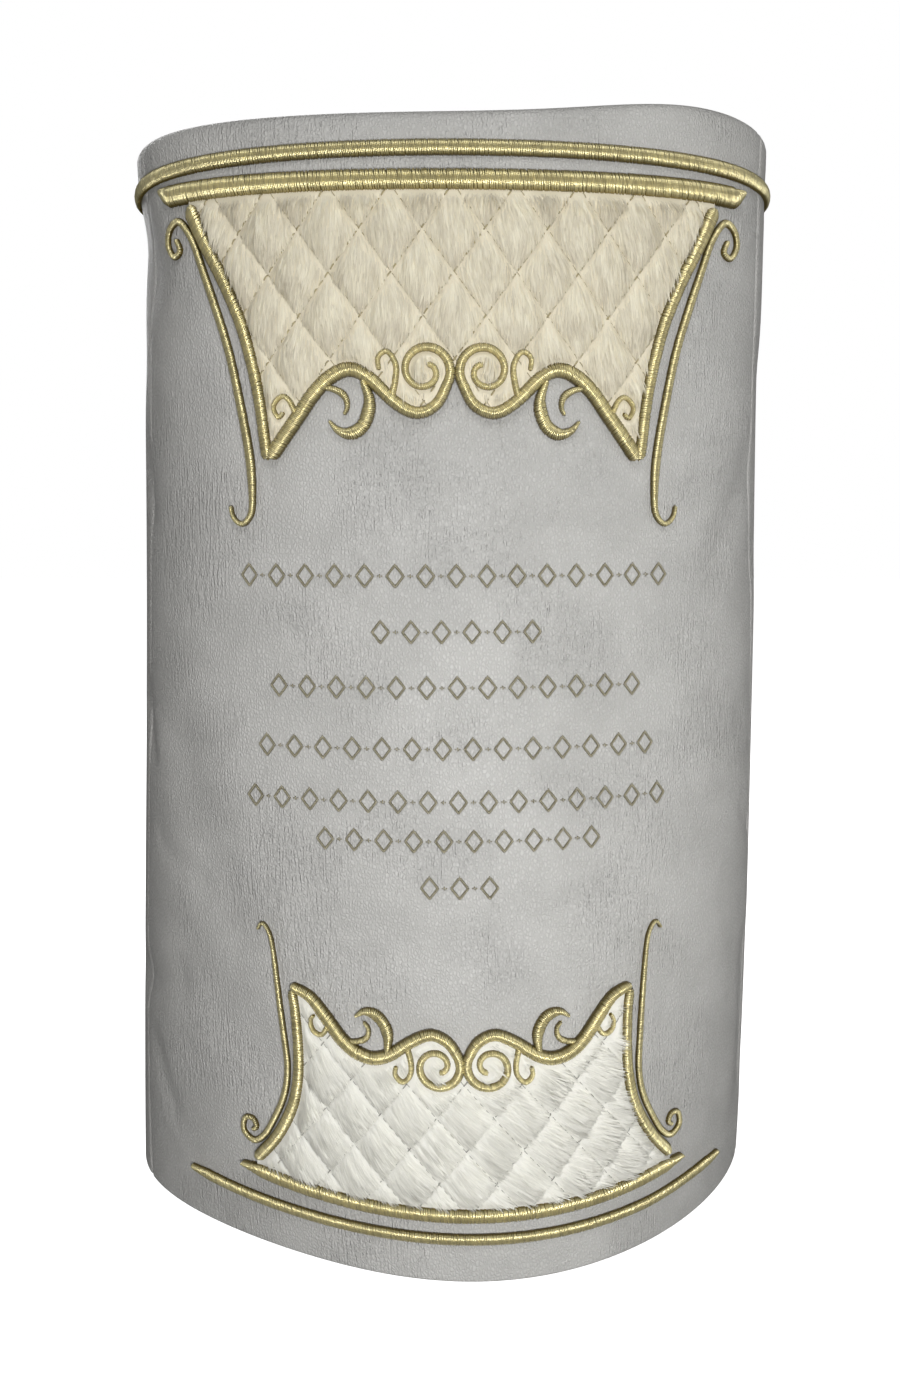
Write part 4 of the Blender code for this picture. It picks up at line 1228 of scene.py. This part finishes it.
lozenges = Embroidery()
for row in LOZENGE_ROWS:
    values = dict(zip(ROW_COLUMNS, row))
    middle = (values["lozenges"] - 1) / 2
    for count in range(values["lozenges"]):
        centre = np.array([(count - middle) * LOZENGE_PITCH, values["height"]])
        lozenges.path(lozenge_line(centre), closed=True)
        if count + 1 < values["lozenges"]:
            lozenges.path(dot_line(centre + (LOZENGE_PITCH / 2, 0)))
lozenge_rows = lozenges.piece("lozenge_rows", FINE_THREAD)
grow(lozenge_rows, STITCHES, {**FINE_SATIN, "Seed": 400, "Thread": FINE_THREAD})
finish_piece(lozenge_rows, "gold_thread")

# %% [markdown]
# ## The fur pads
#
# Each pad is a fur-covered filling, sewn through in diamonds. Its top swells between the seams and is
# pinned down along them and under the gold. The points of the mesh lie on the diamonds' own lattice, so
# the seams stay sharp. The swelling is worked out in code from the seams and isn't simulated.

# %% Quilting
QUILTINGS = {
    "upper": {"width": 31.0, "height": 42.0, "crossing": (0.0, 515.0), "crown": 5.2, "middle": 463.5},
    "lower": {"width": 29.5, "height": 35.0, "crossing": (0.0, 71.0), "crown": 4.4, "middle": 118.5},
}
PRESSED = 1.2
SEAM_HEIGHT = 1.3
PAD_FOOT = -0.2
MARGIN_REACH = 4.0
LATTICE_STEPS = 24
FOOT_LATTICE_STEPS = 5
LATTICE_SPAN = 12
QUILT_EDGE_STEPS = 40
QUILT_EDGE_STEP = 3.0
CLOSEST_EDGE_POINTS = 0.4


def diamond_axes(places, quilting):
    """Counts of diamonds along the two families of seams."""
    across = (places[:, 0] - quilting["crossing"][0]) / quilting["width"]
    upward = (places[:, 1] - quilting["crossing"][1]) / quilting["height"]
    return across + upward, across - upward


def quilt_crown(places, quilting):
    """From 0 on a seam to 1 in a diamond's middle."""
    rising, falling = diamond_axes(places, quilting)
    return np.sqrt(np.abs(np.sin(math.pi * rising)) * np.abs(np.sin(math.pi * falling)))


def seam_distance(places, quilting):
    """How far each place lies from the nearest quilting seam, in millimetres."""
    rising, falling = diamond_axes(places, quilting)
    spacing = 1 / math.hypot(1 / quilting["width"], 1 / quilting["height"])
    return spacing * np.minimum(np.abs(rising - np.round(rising)), np.abs(falling - np.round(falling)))


def quilt_outline(strokes, band, middle):
    """The pad's edge, under the middle of the gold that covers it, as one loop."""
    side, border = (smooth_route(strokes[name][0], QUILT_EDGE_STEP) for name in ("side", "border"))
    inner = np.concatenate([border, [(0, middle)]])
    if middle < band["height"]:
        along = np.linspace(side[0][0], 0, QUILT_EDGE_STEPS)
        half = np.concatenate([inner[::-1], side[::-1], np.stack([along, band_height(band, along)], axis=-1)])
    else:
        along = np.linspace(0, side[-1][0], QUILT_EDGE_STEPS)
        half = np.concatenate([np.stack([along, band_height(band, along)], axis=-1), side[::-1], inner])
    left = half[::-1] * (-1, 1)
    loop = np.concatenate([half, left])
    return loop[np.linalg.norm(loop - np.roll(loop, 1, axis=0), axis=1) > CLOSEST_EDGE_POINTS]


def pad_lattice(quilting, outline, count):
    """Points on the diamonds' lattice over the pad, with a count of steps to a diamond."""
    steps = np.arange(-LATTICE_SPAN * count, LATTICE_SPAN * count + 1) / count
    rising, falling = np.meshgrid(steps, steps)
    around = quilting["crossing"][0] + quilting["width"] * (rising + falling).ravel() / 2
    height = quilting["crossing"][1] + quilting["height"] * (rising - falling).ravel() / 2
    reach = np.abs(outline[:, 0]).max()
    inside = (np.abs(around) < reach) & (height > outline[:, 1].min()) & (height < outline[:, 1].max())
    return np.stack([around[inside], height[inside]], axis=-1)


def inside_triangles(outline, extra):
    """Triangles that fill an outline, with the places that they use."""
    points = [Vector(point) for point in (*outline, *extra)]
    loop = list(range(len(outline)))
    places, _, triangles, _, _, sources = delaunay_2d_cdt(points, [], [loop], 0, 1e-3)
    kept = [triangle for triangle, source in zip(triangles, sources) if source]
    used = sorted({corner for triangle in kept for corner in triangle})
    renumbered = {old: new for new, old in enumerate(used)}
    return np.array([places[old] for old in used]), [[renumbered[corner] for corner in tri] for tri in kept]


def open_edges(triangles):
    """The edges that have a triangle on one side only."""
    directed = {(triangle[i - 1], triangle[i]) for triangle in triangles for i in range(3)}
    return [(a, b) for a, b in directed if (b, a) not in directed]


def lumps(places, size, seed):
    """Soft unevenness from -1 to 1."""
    return np.array([noise.noise(Vector((x / size, y / size, seed))) for x, y in places])


# %% [markdown]
# ## Fur by Geometry Nodes
#
# The strands are narrow blades, rooted at random on the pad and laid over in the direction of combing.
# Each is only as long as the way to the next seam or gold line ahead of it, where the thread holds it
# down. The upper fur hangs nearly straight down and wanders to both sides. The lower fur slants to the
# right, more so towards the right.

# %% Fur tree
FUR_INPUTS = (
    ("Density", "NodeSocketFloat"),
    ("Length", "NodeSocketFloat"),
    ("Width", "NodeSocketFloat"),
    ("Lift", "NodeSocketFloat"),
    ("Stray", "NodeSocketFloat"),
    ("Seed", "NodeSocketInt"),
    ("Strands", "NodeSocketMaterial"),
)
BLADE_STATIONS = 4
BLADE_TAPER = 0.88
BLADE_BEND = 0.75
ROOT_SINK = 0.0002
LEAST_PILE = 0.02
STRAY_TURNS = (0.35, 1.6, 1.0)
STRAND_SIZES = (0.72, 1.12)
STRAND_TONES = (0.05, 1.0)


def fur_blade(bench, given):
    """One strand: a blade along +Y that rises, bends over and narrows to its tip."""
    sheet = {"Size X": 1.0, "Size Y": 1.0, "Vertices X": 2, "Vertices Y": BLADE_STATIONS}
    grid = bench.node("GeometryNodeMeshGrid", {}, sheet)
    point = point_parts(bench)
    along = point.out("Y") + 0.5
    length = given.out("Length")
    bent = {
        "X": point.out("X") * given.out("Width") * (1 - BLADE_TAPER * along * along),
        "Y": along * length,
        "Z": along * length * given.out("Lift") * (1 - BLADE_BEND * along) - ROOT_SINK,
    }
    position = bench.node("ShaderNodeCombineXYZ", {}, bent)
    return bench.node("GeometryNodeSetPosition", {}, {"Geometry": grid, "Position": position})


def fur_tree():
    group, bench, given = new_node_group("fur", FUR_INPUTS)
    seed, stray = given.out("Seed"), given.out("Stray")
    pile = read_attribute(bench, "pile")
    spread = {
        "Mesh": given.out("Geometry"),
        "Selection": pile.math("GREATER_THAN", LEAST_PILE),
        "Density": given.out("Density"),
        "Seed": seed,
    }
    roots = bench.node("GeometryNodeDistributePointsOnFaces", {"distribute_method": "RANDOM"}, spread)
    comb = read_attribute(bench, "comb", "FLOAT_VECTOR")
    axes = {"Primary Axis": roots.out("Normal"), "Secondary Axis": comb}
    combed = bench.node("FunctionNodeAxesToRotation", {"primary_axis": "Z", "secondary_axis": "Y"}, axes)
    turns = [random_between(bench, -turn, turn, seed + n) * stray for n, turn in enumerate(STRAY_TURNS, 1)]
    turned = turned_by(bench, combed, *turns)
    size = pile * random_between(bench, *STRAND_SIZES, seed + 4)
    laid = {"Points": roots, "Instance": fur_blade(bench, given), "Rotation": turned, "Scale": size}
    strands = bench.node("GeometryNodeInstanceOnPoints", {}, laid)
    toned = told(bench, strands, "tone", random_between(bench, *STRAND_TONES, seed + 5), "INSTANCE")
    close_tree(bench, toned, given.out("Strands"), given.out("Geometry"))
    return group


FUR_STRANDS = fur_tree()
print("fur tree:", len(FUR_STRANDS.nodes), "nodes")

# %% Comb the pads
COMBING = {
    "upper": {"slant": 3.0, "fan": 0.05, "wander": 22.0, "ridge": 0.60},
    "lower": {"slant": 50.0, "fan": 0.26, "wander": 12.0, "ridge": 0.70},
}
RIDGE_SPACING = 2.4
RIDGE_LENGTH = 16.0
FUR_SIZES = {
    "upper": {"Density": 0.85e6, "Length": 0.0095, "Width": 0.00085, "Lift": 0.20, "Stray": 0.15, "Seed": 3},
    "lower": {"Density": 0.95e6, "Length": 0.0105, "Width": 0.00075, "Lift": 0.18, "Stray": 0.12, "Seed": 8},
}
PROBE = 5.0
LEAST_CLOSING = 0.25
SEAM_MARGIN = 0.2
GOLD_MARGIN = 0.6
BARE_BESIDE_GOLD = 0.2
RIDGE_DRIFT = 6.0
LUMPS = {"wander": (22.0, 9.0), "drift": (30.0, 3.0), "ridge": (1.0, 7.0), "swell": (16.0, 2.0),
         "shade": (12.0, 4.0)}
SWELL_UNEVENNESS = 0.12
HIGHEST_SWELL = 1.2
SHADE = {"all": 0.45, "side": 0.45, "ridge": 0.55, "lumps": 0.25}


def room_ahead(places, ahead, distance):
    """How long a strand may be before it reaches what the distance is measured from."""
    here = distance(places)
    closing = np.clip((here - distance(places + PROBE * ahead)) / PROBE, LEAST_CLOSING, 1)
    return np.maximum(here, 0) / closing


def pad_data(half, places, strokes):
    """Heights of the pad's top and what its strands need, at each place."""
    quilting, combing = QUILTINGS[half], COMBING[half]
    past = nearness(places, strokes)
    free = np.clip(past / MARGIN_REACH, 0, 1)
    wander = combing["wander"] * lumps(places, *LUMPS["wander"])
    angle = np.radians(combing["slant"] + combing["fan"] * places[:, 0] + wander)
    ahead = np.stack([np.sin(angle), -np.cos(angle)], axis=-1)
    sine, cosine = math.sin(math.radians(combing["slant"])), math.cos(math.radians(combing["slant"]))
    along = places @ (sine, -cosine)
    across = places @ (cosine, sine) + RIDGE_DRIFT * lumps(places, *LUMPS["drift"])
    ridges = lumps(np.stack([across / RIDGE_SPACING, along / RIDGE_LENGTH], axis=-1), *LUMPS["ridge"])
    crown = quilt_crown(places, quilting)
    swell = np.clip(crown * (1 + SWELL_UNEVENNESS * lumps(places, *LUMPS["swell"])), 0, HIGHEST_SWELL)
    top = PRESSED + free * (SEAM_HEIGHT - PRESSED + (quilting["crown"] - SEAM_HEIGHT) * swell)
    top = top + free * np.minimum(1, 2 * crown) * combing["ridge"] * ridges
    length = FUR_SIZES[half]["Length"] / MM
    pile = np.minimum(
        room_ahead(places, ahead, lambda spots: seam_distance(spots, quilting)) + SEAM_MARGIN,
        room_ahead(places, ahead, lambda spots: nearness(spots, strokes)) + GOLD_MARGIN,
    )
    pile = np.clip(pile / length, 0, 1) * (past > BARE_BESIDE_GOLD)
    combed = on_wall(places + ahead, 0.0) - on_wall(places, 0.0)
    comb = combed / np.linalg.norm(combed, axis=1)[:, None]
    rising, falling = diamond_axes(places, quilting)
    # Painted shade: one side of every diamond is greyed, where the swelling turns from the light.
    side = (falling - np.floor(falling)) - (rising - np.floor(rising))
    shade = SHADE["all"] + SHADE["side"] * side + SHADE["ridge"] * ridges
    shade = np.clip(shade + SHADE["lumps"] * lumps(places, *LUMPS["shade"]), 0, 1)
    return top, pile, comb, shade


def fur_pad(half, table, band_name, frame_lines):
    quilting = QUILTINGS[half]
    outline = quilt_outline(table, BANDS[band_name], quilting["middle"])
    strokes = [*frame_lines, *mirrored(frame_lines), GOLD_LINES[band_name][0]]
    places, triangles = inside_triangles(outline, pad_lattice(quilting, outline, LATTICE_STEPS))
    under, foot = inside_triangles(outline, pad_lattice(quilting, outline, FOOT_LATTICE_STEPS))
    top, pile, comb, shade = pad_data(half, places, strokes)
    count, foot_count = len(places), len(under)
    edges = open_edges(triangles)
    foot_rim = sorted({corner for edge in open_edges(foot) for corner in edge})
    sunk = {}
    for corner in {corner for edge in edges for corner in edge}:
        nearest = np.argmin(np.linalg.norm(under[foot_rim] - places[corner], axis=1))
        sunk[corner] = count + foot_rim[nearest]
    rim = [tuple(dict.fromkeys((b, a, sunk[a], sunk[b]))) for a, b in edges]
    faces = [*triangles, *[[corner + count for corner in triangle[::-1]] for triangle in foot], *rim]
    points = np.concatenate([on_wall(places, top), on_wall(under, PAD_FOOT)])
    mesh = bpy.data.meshes.new(half + "_fur_pad")
    mesh.from_pydata(points.tolist(), [], faces)
    store(mesh, "pile", "FLOAT", np.concatenate([pile, np.zeros(foot_count)]))
    store(mesh, "shade", "FLOAT", np.concatenate([shade, np.zeros(foot_count)]))
    combs = np.concatenate([comb, np.tile([1.0, 0.0, 0.0], (foot_count, 1))])
    store(mesh, "comb", "FLOAT_VECTOR", combs.ravel())
    pad = add_piece(half + "_fur_pad", mesh, FUR[half])
    grow(pad, FUR_STRANDS, {**FUR_SIZES[half], "Strands": FUR[half]})
    finish_piece(pad, "cream_fur" if half == "upper" else "white_fur", half + "_quilt")
    return outline, strokes


PADS = {
    "upper": fur_pad("upper", UPPER_STROKES, "heading_bar", UPPER_FRAME),
    "lower": fur_pad("lower", LOWER_STROKES, "lower_bar", LOWER_FRAME),
}

# %% [markdown]
# ## Running stitches along the seams
#
# The quilting thread shows as short dashes in the valleys, ochre above and grey below. The seams that
# rise to the right have a thicker thread than those that fall. The dashes come from the same stitch tree,
# turned to lie along their path.

# %% Quilting thread
DASHES = {
    "upper": ({"half": 1.5, "rise": 0.9, "width": 0.00085}, {"half": 1.3, "rise": 0.6, "width": 0.00045}),
    "lower": ({"half": 1.4, "rise": 0.7, "width": 0.00060}, {"half": 1.3, "rise": 0.4, "width": 0.00040}),
}
DASH_SEAT = 1.2
RUNNING = {"Pitch": 0.0048, "Relief": 0.25, "Slant": math.pi / 2, "Unevenness": 0.06, "Sides": 5, "Bends": 5}
DASH_CLEARANCE = 0.8
SHORTEST_RUN = 4
DASH_SEED = 700


def seam_runs(quilting, outline, strokes):
    """The stretches of quilting seam that show, with the family that each belongs to."""
    span = np.linspace(-LATTICE_SPAN, LATTICE_SPAN, LATTICE_STEPS * LATTICE_SPAN * 2 + 1)
    for family in (0, 1):
        for number in range(-LATTICE_SPAN, LATTICE_SPAN + 1):
            fixed = np.full_like(span, number)
            rising, falling = (fixed, span) if family else (span, fixed)
            around = quilting["crossing"][0] + quilting["width"] * (rising + falling) / 2
            height = quilting["crossing"][1] + quilting["height"] * (rising - falling) / 2
            line = np.stack([around, height], axis=-1)
            shown = is_inside(line, outline)
            if shown.any():
                shown &= nearness(line, strokes) > DASH_CLEARANCE
            starts = np.flatnonzero(np.diff(np.concatenate([[False], shown, [False]]).astype(int)))
            for first, last in zip(starts[::2], starts[1::2]):
                if last - first > SHORTEST_RUN:
                    yield family, line[first:last]


for half, (outline, strokes) in PADS.items():
    runs = list(seam_runs(QUILTINGS[half], outline, strokes))
    for family, (name, dash) in enumerate(zip(("rising", "falling"), DASHES[half])):
        thread = Embroidery()
        for route in (route for of_family, route in runs if of_family == family):
            size = np.ones(len(route))
            line = {"route": route, "half": dash["half"] * size, "rise": dash["rise"] * size}
            thread.path(line, out=DASH_SEAT)
        seams = thread.piece("_".join((half, name, "seam_thread")), SEAM_THREADS[half])
        sewn_with = {"Thread Width": dash["width"], "Seed": DASH_SEED, "Thread": SEAM_THREADS[half]}
        grow(seams, STITCHES, {**RUNNING, **sewn_with})
        finish_piece(seams, "gold_thread")

# %% [markdown]
# ## Floor and light
#
# A white floor that only the camera sees, a soft light in front below the mantle's middle height, weaker
# ones at the right, above and behind, and a dim room. The low front light is what makes the lower edges of
# the top bars and the upper edges of the bottom bars shine. The one behind is there for the back view.

# %% Floor, lights and world
FLOOR_COLOUR = (0.88, 0.88, 0.87)
FLOOR_GLOW = 1.0
FLOOR_REACH = 6.0
LIGHTS = {
    "key": {"place": (0.10, -1.00, 0.24), "aim": (0.0, 0.0, 0.28), "size": (0.40, 0.30), "power": 6.1},
    "side": {"place": (1.50, -0.35, 0.40), "aim": (0.1, 0.0, 0.3), "size": (0.6, 0.6), "power": 2.6},
    "ceiling": {"place": (0.0, -0.85, 1.65), "aim": (0.0, 0.0, 0.3), "size": (1.0, 0.5), "power": 5.5},
    "back": {"place": (-0.5, 1.4, 1.1), "aim": (0.0, 0.0, 0.35), "size": (1.2, 1.0), "power": 15.0},
}
ROOM_STRENGTH = 0.115
BACKDROP_STRENGTH = 1.0


def add_floor():
    mesh = bpy.data.meshes.new("floor")
    corners = [(x * FLOOR_REACH, y * FLOOR_REACH, 0) for x, y in ((-1, -1), (1, -1), (1, 1), (-1, 1))]
    mesh.from_pydata(corners, [], [(0, 1, 2, 3)])
    glow = {"Roughness": 0.8, "Emission Color": (1.0, 1.0, 1.0, 1.0), "Emission Strength": FLOOR_GLOW}
    material, bench, shader = new_finish("pale_floor", glow)
    place = bench.node("ShaderNodeTexCoord", output="Object")
    speck = bench.noise(place, 0.2, 2.0)
    bench.feed(shader.inputs["Base Color"], bench.mixed(speck * 0.1, FLOOR_COLOUR, (0.84, 0.84, 0.83)))
    floor = add_piece("floor", mesh, material)
    floor.visible_diffuse = False
    floor.visible_glossy = False


def add_lights():
    for name, light in LIGHTS.items():
        lamp = bpy.data.lights.new(name + "_light", "AREA")
        lamp.shape = "RECTANGLE"
        lamp.size, lamp.size_y = light["size"]
        lamp.energy = light["power"]
        placed = bpy.data.objects.new(name + "_light", lamp)
        placed.location = light["place"]
        placed.visible_camera = False
        aim = Vector(light["aim"]) - Vector(light["place"])
        placed.rotation_euler = aim.to_track_quat("-Z", "Y").to_euler()
        bpy.context.scene.collection.objects.link(placed)


def set_world():
    world = bpy.data.worlds.new("pale_room")
    world.use_nodes = True
    bench = Bench(world.node_tree)
    background = world.node_tree.nodes["Background"]
    seen = bench.node("ShaderNodeLightPath", output="Is Camera Ray")
    bench.feed(background.inputs["Strength"], ROOM_STRENGTH + seen * (BACKDROP_STRENGTH - ROOM_STRENGTH))
    background.inputs["Color"].default_value = (1.0, 1.0, 1.0, 1.0)
    bpy.context.scene.world = world


add_floor()
add_lights()
set_world()
bpy.context.scene.view_settings.view_transform = "Standard"
print("lights:", ", ".join(LIGHTS))
